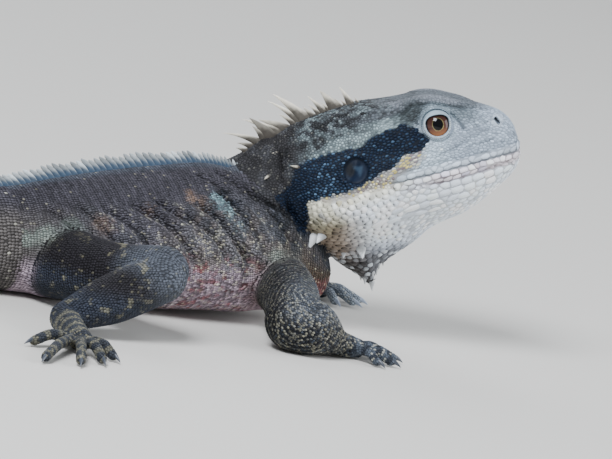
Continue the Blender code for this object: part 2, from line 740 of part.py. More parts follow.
def make_head(workshop, draw):
    """The head with its lids, lips, nostrils, ear drums, crest and cheek spines, and the eyes."""
    form = Form([head_station(row) for row in HEAD_STATIONS], sculpt_head)
    nose = np.linspace(0, HEAD_NOSE_LENGTH, 4)
    rest = np.linspace(HEAD_NOSE_LENGTH, form.length, int(form.length / HEAD_RING_STEP))
    places = np.concatenate([nose, rest[1:]])
    head = workshop.node("head", form.rings(places, HEAD_SIDES, 0.0, (0.0, GAP / 2)), "head")
    for side in (1, -1):
        add_head_details(workshop, form, side)
    spots = [np.interp(-s, -to_head(form.rows[:, :3])[:, 0], form.places) for s, _ in HEAD_CREST]
    heights = [height for _, height in HEAD_CREST]
    widths = [HEAD_CREST_WIDTH] * len(spots)
    add_crest(workshop, form, spots, heights, widths, NAPE_THICKNESS, HEAD_LEAN, draw)
    workshop.join(head)
    for side in (1, -1):
        mirror = np.array([1, side, 1])
        workshop.ball_tool(np.array(EYE_CENTRE) * mirror, [EYE_RADIUS + GAP] * 3, EYE_FACETS)
        workshop.ball_tool(np.array(NOSTRIL_PIT) * mirror, NOSTRIL_PIT_RADII, PIT_FACETS)
        workshop.ball_tool(np.array(EAR_DRUM) * mirror, EAR_DRUM_RADII, EAR_DRUM_FACETS)
    workshop.tool(mouth_blade(form))
    workshop.cut(head)
    for name, side in (("eye_left", 1), ("eye_right", -1)):
        centre = np.array(EYE_CENTRE) * np.array([1, side, 1])
        radii = [EYE_RADIUS] * 3
        ball_object(name, centre, radii, EYE_FACETS, workshop.parts, workshop.paints["eye"])
    return head


def add_head_details(workshop, form, side):
    """Helpers for one side's lips, lids, nostril and cheek spines."""
    mirror = np.array([1, side, 1])
    for rise in (LIP_RISE, -LIP_RISE):
        workshop.tool(lip_rings(form, side, rise))
    axis = unit(np.array(EYE_AXIS) * mirror @ HEAD_AXES)
    lid = from_head(np.array(EYE_CENTRE) * mirror) + axis * LID_OFFSET
    workshop.torus_tool(lid, axis, LID_RADIUS, LID_THICKNESS, LID_FACETS)
    workshop.ball_tool(np.array(NOSTRIL) * mirror, NOSTRIL_RADII, NOSTRIL_FACETS)
    away = unit(np.array(CHEEK_SPINE_WAY) * mirror @ HEAD_AXES)
    back = unit(np.cross(away, [0.0, 1.0, 0.0]))
    for s, t, length in CHEEK_SPINES:
        root = from_head([s, head_side(form, s, t) * side, t])
        rings = spine_rings(root, away, back, length, *CHEEK_SPINE_WIDTHS, CHEEK_SPINE_LEAN)
        workshop.tool(rings)


def make_body(workshop, head, draw):
    """The torso, the lengths of the tail and the neck, with the crest along them."""
    body = Form(TRUNK_STATIONS + tail_stations())
    pelvis = body.places[len(TRUNK_STATIONS) - 1]
    chest = np.linspace(0, CHEST_LENGTH, CHEST_RINGS)
    cutter = np.concatenate([chest, np.linspace(TRUNK_FROM, pelvis + CUTTER_REACH, CUTTER_RINGS)])

    def inflated():
        return body.rings(cutter, BODY_SIDES, GAP)

    torso_places = np.concatenate([chest, np.linspace(TRUNK_FROM, pelvis, TRUNK_RINGS)])
    torso_rings = body.rings(torso_places, BODY_SIDES, 0.0, (0.0, GAP / 2))
    torso = workshop.node("torso", torso_rings, "torso")
    add_back_crest(workshop, torso, body, pelvis, 0.0, pelvis, draw)
    for order, (start, end) in enumerate(zip(TAIL_CUTS[:-1], TAIL_CUTS[1:]), 1):
        places = np.linspace(pelvis + start, pelvis + end, TAIL_RINGS)
        shifts = (-GAP / 2, 0.0 if end == TAIL_CUTS[-1] else GAP / 2)
        node = workshop.node(f"tail_{order}", body.rings(places, TAIL_SIDES, 0.0, shifts), "tail")
        add_back_crest(workshop, node, body, pelvis, pelvis + start, pelvis + end, draw)
    neck = make_neck(workshop, draw)
    for node in (neck, head):
        workshop.tool(inflated())
        workshop.cut(node)
    return inflated


def add_back_crest(workshop, node, body, pelvis, start, end, draw):
    """Joins the spines between two places of the back or tail to their node, if there are any."""
    spots = np.arange(BACK_CREST_START, pelvis + TAIL_CREST_END, BACK_CREST_STEP)
    here = spots[(spots > start + BACK_CREST_CLEAR[0]) & (spots < end - BACK_CREST_CLEAR[1])]
    if not len(here):
        return
    fade = np.interp(here, [pelvis, pelvis + TAIL_CREST_END], [1.0, TAIL_CREST_FADE])
    heights = BACK_CREST_HEIGHT * fade
    heights[here < BACK_CREST_START + BACK_CREST_STEP / 2] *= BACK_CREST_FIRST
    widths = BACK_CREST_WIDTH * fade
    add_crest(workshop, body, here, heights, widths, BACK_CREST_THICKNESS, BACK_LEAN, draw)
    workshop.join(node)


def make_neck(workshop, draw):
    """The neck, from the head's end into the chest, with its three long spines."""
    form = Form([head_station(HEAD_STATIONS[-1])] + NECK_STATIONS)
    places = np.linspace(0, form.length, NECK_RINGS)
    neck = workshop.node("neck", form.rings(places, HEAD_SIDES, 0.0, (-GAP / 2, 0.0)), "neck")
    spots, heights, widths = zip(*NECK_CREST)
    add_crest(workshop, form, spots, heights, widths, NAPE_THICKNESS, NECK_LEAN, draw)
    workshop.join(neck)
    return neck


def make_limbs(workshop, inflated):
    """Each arm and leg: every segment is cut clear of what it grows from."""
    for side in ("right", "left"):
        for chain in (ARMS, LEGS):
            parent = None
            for name, limb in chain[side].items():
                full = f"{side}_{name}"
                node = workshop.node(full, limb_rings(limb, LIMB_SIDES, LIMB_STEPS), "limb")
                if full in DIGITS:
                    make_digits(workshop, node, full)
                if parent:
                    workshop.tool(limb_rings(parent, LIMB_SIDES, LIMB_STEPS, GAP))
                if name not in ("hand", "foot"):
                    workshop.tool(inflated())
                workshop.cut(node)
                parent = limb


def make_digits(workshop, node, full):
    """The toes of a hand or foot, joined to it, with a socket and a claw at each tip."""
    toes = digit_limbs(DIGITS[full])
    for limb, _, _ in toes:
        workshop.tool(limb_rings(limb, DIGIT_SIDES, DIGIT_STEPS))
    workshop.join(node)
    for order, (_, tip, way) in enumerate(toes):
        workshop.node(f"{full}_claw_{order + 1}", claw_rings(tip, way), "claw")
        workshop.tool(claw_rings(tip, way, GAP, CLAW_SHARES[:3]))


def rest_on_floor(parts):
    """Parents every node to an empty that centres the model over the floor."""
    lows = []
    highs = []
    for thing in parts.objects:
        points = np.array([vertex.co for vertex in thing.data.vertices])
        lows.append(points.min(axis=0))
        highs.append(points.max(axis=0))
    low = np.min(lows, axis=0)
    high = np.max(highs, axis=0)
    stand = bpy.data.objects.new("water_dragon", None)
    bpy.context.scene.collection.objects.link(stand)
    for thing in parts.objects:
        thing.parent = stand
    stand.location = (-(low[0] + high[0]) / 2, -(low[1] + high[1]) / 2, -low[2])


def main():
    """Builds every node and centres the model over the floor."""
    for thing in list(bpy.data.objects):
        bpy.data.objects.remove(thing)
    draw = np.random.default_rng(SPINE_SEED)
    workshop = Workshop()
    head = make_head(workshop, draw)
    inflated = make_body(workshop, head, draw)
    make_limbs(workshop, inflated)
    rest_on_floor(workshop.parts)


main()
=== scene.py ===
"""Eastern water dragon, life size: skin, scales, crest, eyes and claws round the packed frame.

Sizes are real millimetres in the animal's own frame: +X towards the snout, +Y to its left, +Z up.
The Ground class turns them into the metres of the packed frame.
"""

import json
import logging
import math
from dataclasses import dataclass, field, fields
from enum import Enum
from typing import NamedTuple

import bmesh
import bpy
import numpy as np
from mathutils import Matrix, Vector
from mathutils.bvhtree import BVHTree
from mathutils.kdtree import KDTree

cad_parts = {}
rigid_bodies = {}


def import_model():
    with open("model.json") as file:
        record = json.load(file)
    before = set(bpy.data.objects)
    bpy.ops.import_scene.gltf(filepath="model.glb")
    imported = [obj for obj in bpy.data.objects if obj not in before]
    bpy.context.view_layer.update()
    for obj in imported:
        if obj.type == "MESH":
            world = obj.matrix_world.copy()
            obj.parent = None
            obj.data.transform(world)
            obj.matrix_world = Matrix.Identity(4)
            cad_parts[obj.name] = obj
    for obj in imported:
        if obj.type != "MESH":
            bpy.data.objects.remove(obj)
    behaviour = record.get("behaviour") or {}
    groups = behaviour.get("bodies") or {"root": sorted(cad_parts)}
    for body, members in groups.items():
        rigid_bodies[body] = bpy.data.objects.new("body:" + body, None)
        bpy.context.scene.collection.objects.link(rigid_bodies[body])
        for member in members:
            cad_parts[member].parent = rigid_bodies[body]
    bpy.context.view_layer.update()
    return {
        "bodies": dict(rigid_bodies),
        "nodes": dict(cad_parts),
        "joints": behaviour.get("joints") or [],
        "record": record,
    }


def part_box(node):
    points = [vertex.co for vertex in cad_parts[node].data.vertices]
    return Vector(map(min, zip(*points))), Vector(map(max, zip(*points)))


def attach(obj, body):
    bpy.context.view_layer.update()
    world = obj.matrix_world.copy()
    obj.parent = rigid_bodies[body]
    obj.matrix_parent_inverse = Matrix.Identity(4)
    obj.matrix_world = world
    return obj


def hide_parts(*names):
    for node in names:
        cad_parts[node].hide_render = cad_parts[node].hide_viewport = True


Array = np.ndarray
MM = 0.001
FAR_AWAY = 1e9
LOG = logging.getLogger("water_dragon")


class Region(Enum):
    """The parts of the animal that carry scales of their own kind."""

    HEAD = 0
    NECK = 1
    TRUNK = 2
    TAIL = 3
    ARM = 4
    HAND = 5
    LEG = 6
    FOOT = 7


class Station(NamedTuple):
    """One cross-section: its centre, the way it faces in degrees, its half-sizes and roundness."""

    x: float
    y: float
    z: float
    pitch: float
    yaw: float
    up: float
    down: float
    half: float
    top_power: float
    low_power: float


class HeadStation(NamedTuple):
    """One cross-section of the head, with its heights in the head's own frame."""

    s: float
    top: float
    bottom: float
    half: float
    widest: float
    top_power: float
    low_power: float


class Limb(NamedTuple):
    """One limb segment: points along its axis and the radius at each."""

    path: tuple
    radii: tuple


class Digits(NamedTuple):
    """The toes of one hand or foot: root, headings in degrees, lengths, radius and spread."""

    root: tuple
    headings: tuple
    lengths: tuple
    radius: float
    spread: float


# The forms of the animal, the same driving sizes as the solids have
HEAD_ORIGIN = np.array([-20.0, 0.0, 63.0])
HEAD_PITCH = 22.0
HEAD_STATIONS = [HeadStation(*row) for row in (
    (60.4, -1.2, -4.4, 1.6, -2.8, 2.0, 2.0),
    (60.0, 2.0, -8.8, 4.6, -3.4, 2.1, 2.0),
    (58.2, 6.4, -12.6, 7.6, -4.4, 2.3, 2.1),
    (55.0, 9.9, -15.6, 9.6, -5.4, 2.4, 2.2),
    (51.0, 12.2, -18.4, 11.4, -5.8, 2.5, 2.2),
    (46.0, 14.6, -21.4, 13.4, -6.0, 2.5, 2.2),
    (40.0, 17.6, -24.6, 15.6, -6.4, 2.6, 2.1),
    (34.0, 20.2, -26.8, 17.6, -6.8, 2.7, 2.0),
    (28.0, 21.3, -28.2, 19.3, -7.6, 2.7, 1.9),
    (23.0, 21.3, -29.8, 20.4, -8.6, 2.6, 1.75),
    (16.0, 21.2, -34.0, 21.8, -9.8, 2.4, 1.55),
    (8.0, 21.2, -37.6, 23.2, -11.4, 2.3, 1.4),
    (1.5, 21.0, -41.0, 24.2, -12.8, 2.2, 1.25),
    (-2.5, 20.7, -47.0, 24.6, -13.2, 2.1, 1.05),
    (-6.0, 20.2, -43.4, 24.4, -13.0, 2.1, 1.15),
    (-12.0, 19.2, -37.8, 23.6, -11.5, 2.0, 1.4),
    (-17.0, 18.2, -32.0, 22.4, -9.4, 2.0, 1.7),
    (-21.0, 17.2, -27.0, 21.2, -7.5, 2.0, 2.0),
)]
# Swellings and hollows of the head: middle, reach and push, each in (s, y, t) and mirrored
HEAD_SWELLS = [
    ((31, 13.0, 20.0), (13, 4.5, 6), (0, 1.2, 1.9)),
    ((45, 9.0, 14.5), (10, 3.5, 4), (0, 0.9, 1.0)),
    ((32, 19.0, 8.5), (8, 7, 6), (0, -2.4, 0)),
    ((45, 14.0, 4.0), (6, 6, 5), (0, -1.1, 0)),
    ((12, 21.0, 4.0), (9, 8, 6), (0, -1.8, 0)),
    ((-5, 25.0, -18.0), (13, 12, 9), (0, 3.4, -1.0)),
    ((2, 11.0, 19.0), (12, 6, 5), (0, 0.4, 1.0)),
    ((29, 0.0, 22.0), (12, 6, 5), (0, 0, -0.35)),
]
MIRRORS = [np.array([1, side, 1]) for side in (1, -1)]
NECK_STATIONS = [Station(*row) for row in (
    (-45.6, -3.5, 48.0, 25, 6, 19.0, 21.0, 20.0, 1.9, 2.0),
    (-53.0, -8.5, 41.5, 27, 12, 19.0, 21.0, 20.5, 1.8, 2.0),
    (-66.0, -16.0, 34.0, 27, 18, 17.5, 17.0, 19.0, 1.8, 2.0),
)]
TRUNK_STATIONS = [Station(*row) for row in (
    (-20.5, -4.0, 20.0, 4, 8, 2.0, 2.0, 3.0, 2.0, 2.0),
    (-22.5, -4.3, 20.5, 4, 8, 7.5, 8.0, 9.0, 2.0, 2.0),
    (-28.0, -5.0, 22.0, 5, 9, 13.5, 14.0, 15.5, 2.0, 2.0),
    (-38.0, -8.0, 24.5, 8, 12, 19.5, 20.0, 21.0, 1.9, 2.1),
    (-51.0, -13.0, 27.0, 12, 17, 25.0, 24.6, 25.5, 1.8, 2.2),
    (-66.0, -19.5, 27.8, 14, 22, 27.6, 27.6, 28.6, 1.7, 2.3),
    (-86.0, -30.0, 26.2, 14, 28, 26.0, 27.3, 30.0, 1.65, 2.4),
    (-106.0, -41.5, 23.4, 13, 31, 24.2, 24.7, 28.0, 1.65, 2.4),
    (-123.0, -51.8, 20.9, 11, 32, 22.0, 21.9, 23.5, 1.7, 2.3),
    (-139.0, -61.0, 18.4, 8, 30, 19.6, 18.9, 18.5, 1.8, 2.2),
)]
TAIL_HEADINGS = [(0, 210), (70, 199), (150, 182), (260, 150), (360, 116), (450, 84), (545, 58)]
TAIL_SIZES = [
    (20, 17.8, 17.5, 16.2),
    (50, 15.4, 15.3, 13.4),
    (95, 13.0, 12.9, 10.6),
    (160, 10.2, 10.2, 8.4),
    (240, 7.8, 7.8, 6.4),
    (330, 5.6, 5.6, 4.8),
    (430, 3.6, 3.6, 3.2),
    (520, 1.9, 1.9, 1.8),
    (541, 1.3, 1.3, 1.2),
    (545, 0.6, 0.6, 0.6),
]
TAIL_LENGTH = 545.0
TAIL_STEP = 5.0
FLOOR_DIP = 0.5
ARMS = {
    "right": {
        "upper_arm": Limb(((-43, -18, 19), (-33, -42, 15.5), (-30, -60, 12)), (11.6, 10.9, 10.2)),
        "forearm": Limb(((-30, -62, 10.4), (-24, -60.5, 9.8), (-13.5, -54, 5.2)), (10.4, 10.4, 5.4)),
        "hand": Limb(((-13.5, -54, 4.8), (-9.5, -51.5, 4.2), (-5.5, -49, 3.6)), (5.0, 4.6, 3.8)),
    },
    "left": {
        "upper_arm": Limb(((-44, 6, 22), (-49, 24, 20), (-53, 38, 14)), (11.8, 10.6, 8.8)),
        "forearm": Limb(((-53, 40, 11.5), (-45, 45, 10.5), (-32, 50, 5.2)), (8.8, 8.8, 5.0)),
        "hand": Limb(((-32, 50, 4.8), (-27, 51, 4.2), (-22, 52, 3.6)), (5.0, 4.6, 3.8)),
    },
}
LEGS = {
    "right": {
        "thigh": Limb(((-121, -62, 14.5), (-97, -84, 18.5), (-79, -94, 24.5)), (14.0, 11.4, 9.6)),
        "shank": Limb(((-79, -96.5, 23), (-92, -105, 15), (-109, -117, 6.0)), (9.4, 9.2, 5.6)),
        "foot": Limb(((-109, -117, 5.4), (-105, -128, 4.6), (-101, -140, 3.8)), (5.6, 4.9, 4.4)),
    },
    "left": {
        "thigh": Limb(((-140, -48, 16), (-153, -22, 18), (-161, -2, 20)), (14.0, 11.6, 9.4)),
        "shank": Limb(((-163, 0, 18), (-177, -7, 13), (-195, -16, 6.0)), (9.2, 9.2, 5.6)),
        "foot": Limb(((-195, -16, 5.4), (-203, -8, 4.6), (-212, 1, 3.8)), (5.6, 4.9, 4.4)),
    },
}
DIGITS = {
    "right_hand": Digits((-6, -49.3, 3.2), (-34, -6, 20, 42, 84), (9, 13, 15, 14, 9.5), 2.2, 1.7),
    "left_hand": Digits((-22.5, 52, 3.2), (-50, -12, 8, 30, 66), (9, 13, 15, 14, 9.5), 2.2, 1.7),
    "right_foot": Digits((-101.5, -139, 3.3), (-138, -102, -84, -66, -42), (15, 34, 27, 19, 12), 2.4, 1.9),
    "left_foot": Digits((-211.5, 0.5, 3.3), (62, 118, 134, 152, 182), (15, 34, 27, 19, 12), 2.4, 1.9),
}
LIMB_REGIONS = {
    "upper_arm": Region.ARM,
    "forearm": Region.ARM,
    "hand": Region.HAND,
    "thigh": Region.LEG,
    "shank": Region.LEG,
    "foot": Region.FOOT,
}

# Marks of the head, in the head's own frame (s, y, t)
MOUTH_LEVEL = -5.8
MOUTH_FALL = 0.04
MOUTH_CORNER = 13.0
EYE_CENTRE = (32.0, 10.6, 9.2)
EYE_RADIUS = 6.6
EYE_AXIS = (0.16, 0.97, 0.18)
NOSTRIL = (54.3, 6.2, 6.6)
EAR_DRUM = (0.8, 22.6, -0.6)
EAR_DRUM_RADIUS = 5.0

SKIN_DEPTH = 0.35  # how far the bare skin lies inside the solids
PATCH = 0.003  # side of the flat patch that each scale has on the unwrap
LID_CHART = 99  # number of the lids in the unwrap, after the forms of the body
RIM_TURNS = 48  # how many turns round the lids the skin's height is read at
LID_SIDES = 112  # points of each ring of the lids


def linear(hex_colour: str) -> Array:
    """Turns an sRGB colour of six hex digits into linear red, green and blue."""
    shares = np.array([int(hex_colour[place : place + 2], 16) / 255 for place in (0, 2, 4)])
    return np.where(shares <= 0.04045, shares / 12.92, ((shares + 0.055) / 1.055) ** 2.4)


def unit(vectors: Array) -> Array:
    """Vectors at length one, along the last axis."""
    vectors = np.asarray(vectors, float)
    return vectors / np.maximum(np.linalg.norm(vectors, axis=-1, keepdims=True), 1e-9)


def ramp(low: float, high: float, values: Array) -> Array:
    """A smooth ramp from 0 at low to 1 at high."""
    share = np.clip((np.asarray(values, float) - low) / (high - low), 0.0, 1.0)
    return share * share * (3 - 2 * share)


def bell(distance: Array, width: float) -> Array:
    """A smooth bump: 1 in the middle, and about a third of that at the width."""
    return np.exp(-((distance / width) ** 2))


def smooth_values(knots: Array, values: Array, at: Array) -> Array:
    """Reads a curve through knots that never overshoots.

    Args:
        knots: Rising places.
        values: A row of values for each knot.
        at: Places to read.

    Returns:
        A row of values for each place.
    """
    knots = np.asarray(knots, float)
    values = np.asarray(values, float).reshape(len(knots), -1)
    step = np.diff(knots)[:, None]
    slope = np.diff(values, axis=0) / step
    same_way = slope[:-1] * slope[1:] > 0
    near = 2 * step[1:] + step[:-1]
    far = step[1:] + 2 * step[:-1]
    before = np.where(same_way, slope[:-1], 1.0)
    after = np.where(same_way, slope[1:], 1.0)
    tangent = np.zeros_like(values)
    tangent[1:-1] = np.where(same_way, (near + far) / (near / before + far / after), 0.0)
    tangent[0] = slope[0]
    tangent[-1] = slope[-1]
    at = np.clip(np.asarray(at, float), knots[0], knots[-1])
    low = np.clip(np.searchsorted(knots, at, side="right") - 1, 0, len(knots) - 2)
    width = step[low]
    share = (at - knots[low])[:, None] / width
    square = share**2
    cube = share**3
    return (
        (2 * cube - 3 * square + 1) * values[low]
        + (cube - 2 * square + share) * width * tangent[low]
        + (3 * square - 2 * cube) * values[low + 1]
        + (cube - square) * width * tangent[low + 1]
    )


def directions(pitch: Array, yaw: Array) -> tuple[Array, Array, Array]:
    """Forward, left and up directions of sections, from degrees above the level and to the left."""
    pitch = np.radians(np.atleast_1d(pitch))
    yaw = np.radians(np.atleast_1d(yaw))
    level = np.cos(pitch)
    forward = np.stack([level * np.cos(yaw), level * np.sin(yaw), np.sin(pitch)], axis=1)
    left = np.stack([-np.sin(yaw), np.cos(yaw), np.zeros_like(yaw)], axis=1)
    return forward, left, np.cross(forward, left)


HEAD_AXES = np.array([axis[0] for axis in directions(HEAD_PITCH, 0.0)])


def from_head(points: Array) -> Array:
    """Points of the head's frame (s, y, t) in the animal's frame."""
    return HEAD_ORIGIN + np.asarray(points, float) @ HEAD_AXES


def to_head(points: Array) -> Array:
    """Points of the animal's frame in the head's frame (s, y, t)."""
    return (np.asarray(points, float) - HEAD_ORIGIN) @ HEAD_AXES.T


def mouth_line(s: Array) -> Array:
    """Height t of the mouth line at s."""
    return MOUTH_LEVEL - (HEAD_STATIONS[0].s - s) * MOUTH_FALL


def slit_distance(local: Array) -> Array:
    """Distance of points of the head's frame from the slanted slit of the nostril, seen from the side."""
    slit = np.array([[NOSTRIL[0] - 0.45, NOSTRIL[2] + 0.85], [NOSTRIL[0] + 0.4, NOSTRIL[2] - 0.8]])
    return path_distance(np.asarray(local)[:, [0, 2]], slit)[0]


def pressed(points: Array) -> Array:
    """Points with whatever dips below the floor laid on it."""
    points = np.array(points, float)
    points[..., 2] = np.maximum(points[..., 2], 0.0)
    return points


def mix(base: Array, other: Array, share: Array | float) -> Array:
    """Blends a colour into others by share."""
    share = np.asarray(share, float)[..., None]
    return base * (1 - share) + other * share


def even_turns(count: int) -> Array:
    """Angles that go round once in even steps."""
    return np.arange(count) * 2 * math.pi / count


def from_top(turns: Array) -> Array:
    """How far turns round a form are from its top, in radians."""
    return np.abs(np.angle(np.exp(1j * (turns - math.pi / 2))))


def walked_along(path: Array) -> Array:
    """How far each point of a path lies along it."""
    return np.concatenate([[0.0], np.cumsum(np.linalg.norm(np.diff(path, axis=0), axis=1))])


def point_tree(points: Array) -> KDTree:
    """A tree for looking up the points that lie nearest."""
    tree = KDTree(len(points))
    for index, point in enumerate(points.tolist()):
        tree.insert(point, index)
    tree.balance()
    return tree


def value_noise(points: Array, size: float, seed: int) -> Array:
    """Smooth random values in space.

    Args:
        points: Places in millimetres.
        size: Distance over which the values change.
        seed: Which field of values.

    Returns:
        A value from 0 to 1 for each point.
    """
    scaled = np.asarray(points, float) / size + 1000.0
    base = np.floor(scaled).astype(np.int64)
    share = scaled - base
    share = share * share * (3 - 2 * share)
    total = np.zeros(len(scaled))
    for corner in range(8):
        step = np.array([corner & 1, (corner >> 1) & 1, (corner >> 2) & 1])
        cell = base + step
        mixed = cell[:, 0] * 73856093 ^ cell[:, 1] * 19349663 ^ cell[:, 2] * 83492791 ^ (seed * 2654435761)
        mixed = (mixed ^ (mixed >> 13)) * 1274126177 & 0x7FFFFFFF
        value = (mixed % 10007) / 10006
        weight = np.prod(np.where(step, share, 1 - share), axis=1)
        total += value * weight
    return total


def polygon_share(flat: Array, outline: list[tuple[float, float]], soft: float) -> Array:
    """How far flat points lie inside an outline.

    Args:
        flat: Points of two values.
        outline: Corners in order.
        soft: Width of the blurred edge.

    Returns:
        1 well inside, 0 well outside.
    """
    corners = np.array(outline, float)
    following = np.roll(corners, -1, axis=0)
    nearest = np.full(len(flat), FAR_AWAY)
    crossings = np.zeros(len(flat), int)
    for start, end in zip(corners, following):
        edge = end - start
        along = np.clip(((flat - start) @ edge) / (edge @ edge), 0, 1)
        nearest = np.minimum(nearest, np.linalg.norm(flat - start - along[:, None] * edge, axis=1))
        spans = (start[1] > flat[:, 1]) != (end[1] > flat[:, 1])
        rise = edge[1] if abs(edge[1]) > 1e-9 else 1e-9
        reach = start[0] + (flat[:, 1] - start[1]) * edge[0] / rise
        crossings += spans & (flat[:, 0] < reach)
    signed = np.where(crossings % 2 == 1, nearest, -nearest)
    return ramp(-soft, soft, signed)


def path_distance(points: Array, path: Array) -> tuple[Array, Array]:
    """Distance of points from a broken line.

    Args:
        points: Places.
        path: Corners of the line.

    Returns:
        The distance of each point, and the share of the line's length where it is nearest.
    """
    lengths = np.linalg.norm(np.diff(path, axis=0), axis=1)
    starts = walked_along(path)
    best = np.full(len(points), FAR_AWAY)
    place = np.zeros(len(points))
    for index, (start, end) in enumerate(zip(path[:-1], path[1:])):
        edge = end - start
        along = np.clip(((points - start) @ edge) / max(edge @ edge, 1e-9), 0, 1)
        distance = np.linalg.norm(points - start - along[:, None] * edge, axis=1)
        closer = distance < best
        best = np.where(closer, distance, best)
        place = np.where(closer, starts[index] + along * lengths[index], place)
    return best, place / starts[-1]


@dataclass
class Ground:
    """Turns the animal's millimetres into the metres of the packed frame."""

    shift: Array = field(default_factory=lambda: np.zeros(3))

    @classmethod
    def from_frame(cls) -> "Ground":
        """Finds the shift from where the packed frame holds the right eye."""
        low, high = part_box("eye_right")
        middle = (np.array(low) + np.array(high)) / 2 / MM
        return cls(middle - from_head(np.array(EYE_CENTRE) * np.array([1, -1, 1])))

    def metres(self, points: Array) -> Array:
        """Places in the packed frame, in metres."""
        return (np.asarray(points, float) + self.shift) * MM

    def millimetres(self, points: Array) -> Array:
        """Places of the packed frame in the animal's millimetres."""
        return np.asarray(points, float) / MM - self.shift


class Tube:
    """A closed form whose surface is read by the place along it and the turn round it."""

    reading_step = 0.6

    def __init__(self, region: Region, start: float, end: float) -> None:
        """Says what the form belongs to and where it starts and ends."""
        self.region = region
        self.start = start
        self.end = end

    def surface(self, places: Array, turns: Array, grow: float = 0.0) -> Array:
        """Surface points; turn 0 is the left side and a quarter turn the top."""
        raise NotImplementedError

    def lie(self, places: Array, turns: Array) -> Array:
        """The way scales lie: towards the tail on the body, towards the toes on a limb."""
        ahead = self.surface(np.minimum(places + self.reading_step, self.end), turns)
        behind = self.surface(np.maximum(places - self.reading_step, self.start), turns)
        return unit(ahead - behind)

    def grid(self, rows: int, sides: int, grow: float) -> tuple[Array, list[tuple]]:
        """Makes the closed mesh of the form.

        Args:
            rows: Rings along the form.
            sides: Points of a ring.
            grow: How far the surface is moved out.

        Returns:
            Points, and faces as tuples of point numbers.
        """
        places = np.repeat(np.linspace(self.start, self.end, rows), sides)
        turns = np.tile(even_turns(sides), rows)
        points = pressed(self.surface(places, turns, grow))
        faces = []
        for row in range(rows - 1):
            low = row * sides
            for corner in range(sides):
                after = (corner + 1) % sides
                faces.append((low + corner, low + after, low + sides + after, low + sides + corner))
        faces.append(tuple(range(sides))[::-1])
        faces.append(tuple(range(len(points) - sides, len(points))))
        return points, faces


class BodyTube(Tube):
    """A form through stations of rounded sections, such as the head, the neck and the trunk."""

    def __init__(self, region: Region, stations: list[Station], sculpt=None) -> None:
        """Keeps the stations and measures the way along them."""
        self.rows = np.array(stations, float)
        self.places = walked_along(self.rows[:, :3])
        self.sculpt = sculpt
        super().__init__(region, 0.0, self.places[-1])

    def surface(self, places: Array, turns: Array, grow: float = 0.0) -> Array:
        """Surface points; turn 0 is the left side and a quarter turn the top."""
        rows = smooth_values(self.places, self.rows, places)
        _, left, up = directions(rows[:, 3], rows[:, 4])
        cosine = np.cos(turns)
        sine = np.sin(turns)
        power = 2 / np.where(sine >= 0, rows[:, 8], rows[:, 9])
        across = np.sign(cosine) * np.abs(cosine) ** power * (rows[:, 7] + grow)
        height = np.where(sine >= 0, rows[:, 5], rows[:, 6]) + grow
        risen = np.sign(sine) * np.abs(sine) ** power * height
        points = rows[:, :3] + across[:, None] * left + risen[:, None] * up
        return self.sculpt(points) if self.sculpt else points


class LimbTube(Tube):
    """A limb segment or a toe: a round form along a path, with rounded ends."""

    roundness = 0.985

    def __init__(self, region: Region, limb: Limb) -> None:
        """Keeps the path and its radii."""
        self.path = np.array(limb.path, float)
        self.radii = np.array(limb.radii, float)
        self.walked = walked_along(self.path)
        self.total = self.walked[-1]
        first, last = self.roundness * self.radii[0], self.roundness * self.radii[-1]
        super().__init__(region, -first, self.total + last)

    def surface(self, places: Array, turns: Array, grow: float = 0.0) -> Array:
        """Surface points; a quarter turn is the top."""
        places = np.asarray(places, float)
        inside = np.clip(places, 0.0, self.total)
        centres = smooth_values(self.walked, self.path, inside)
        ahead = smooth_values(self.walked, self.path, inside + 0.5)
        behind = smooth_values(self.walked, self.path, inside - 0.5)
        forward = unit(ahead - behind)
        beyond = places - inside
        radii = smooth_values(self.walked, self.radii, inside)[:, 0] + grow
        share = np.sqrt(np.clip(1 - (beyond / radii) ** 2, 0.03, 1.0))
        centres = centres + forward * beyond[:, None]
        side = unit(np.cross(np.array([0.0, 0.0, 1.0]), forward))
        up = np.cross(forward, side)
        reach = (radii * share)[:, None]
        return centres + reach * (np.cos(turns)[:, None] * side + np.sin(turns)[:, None] * up)


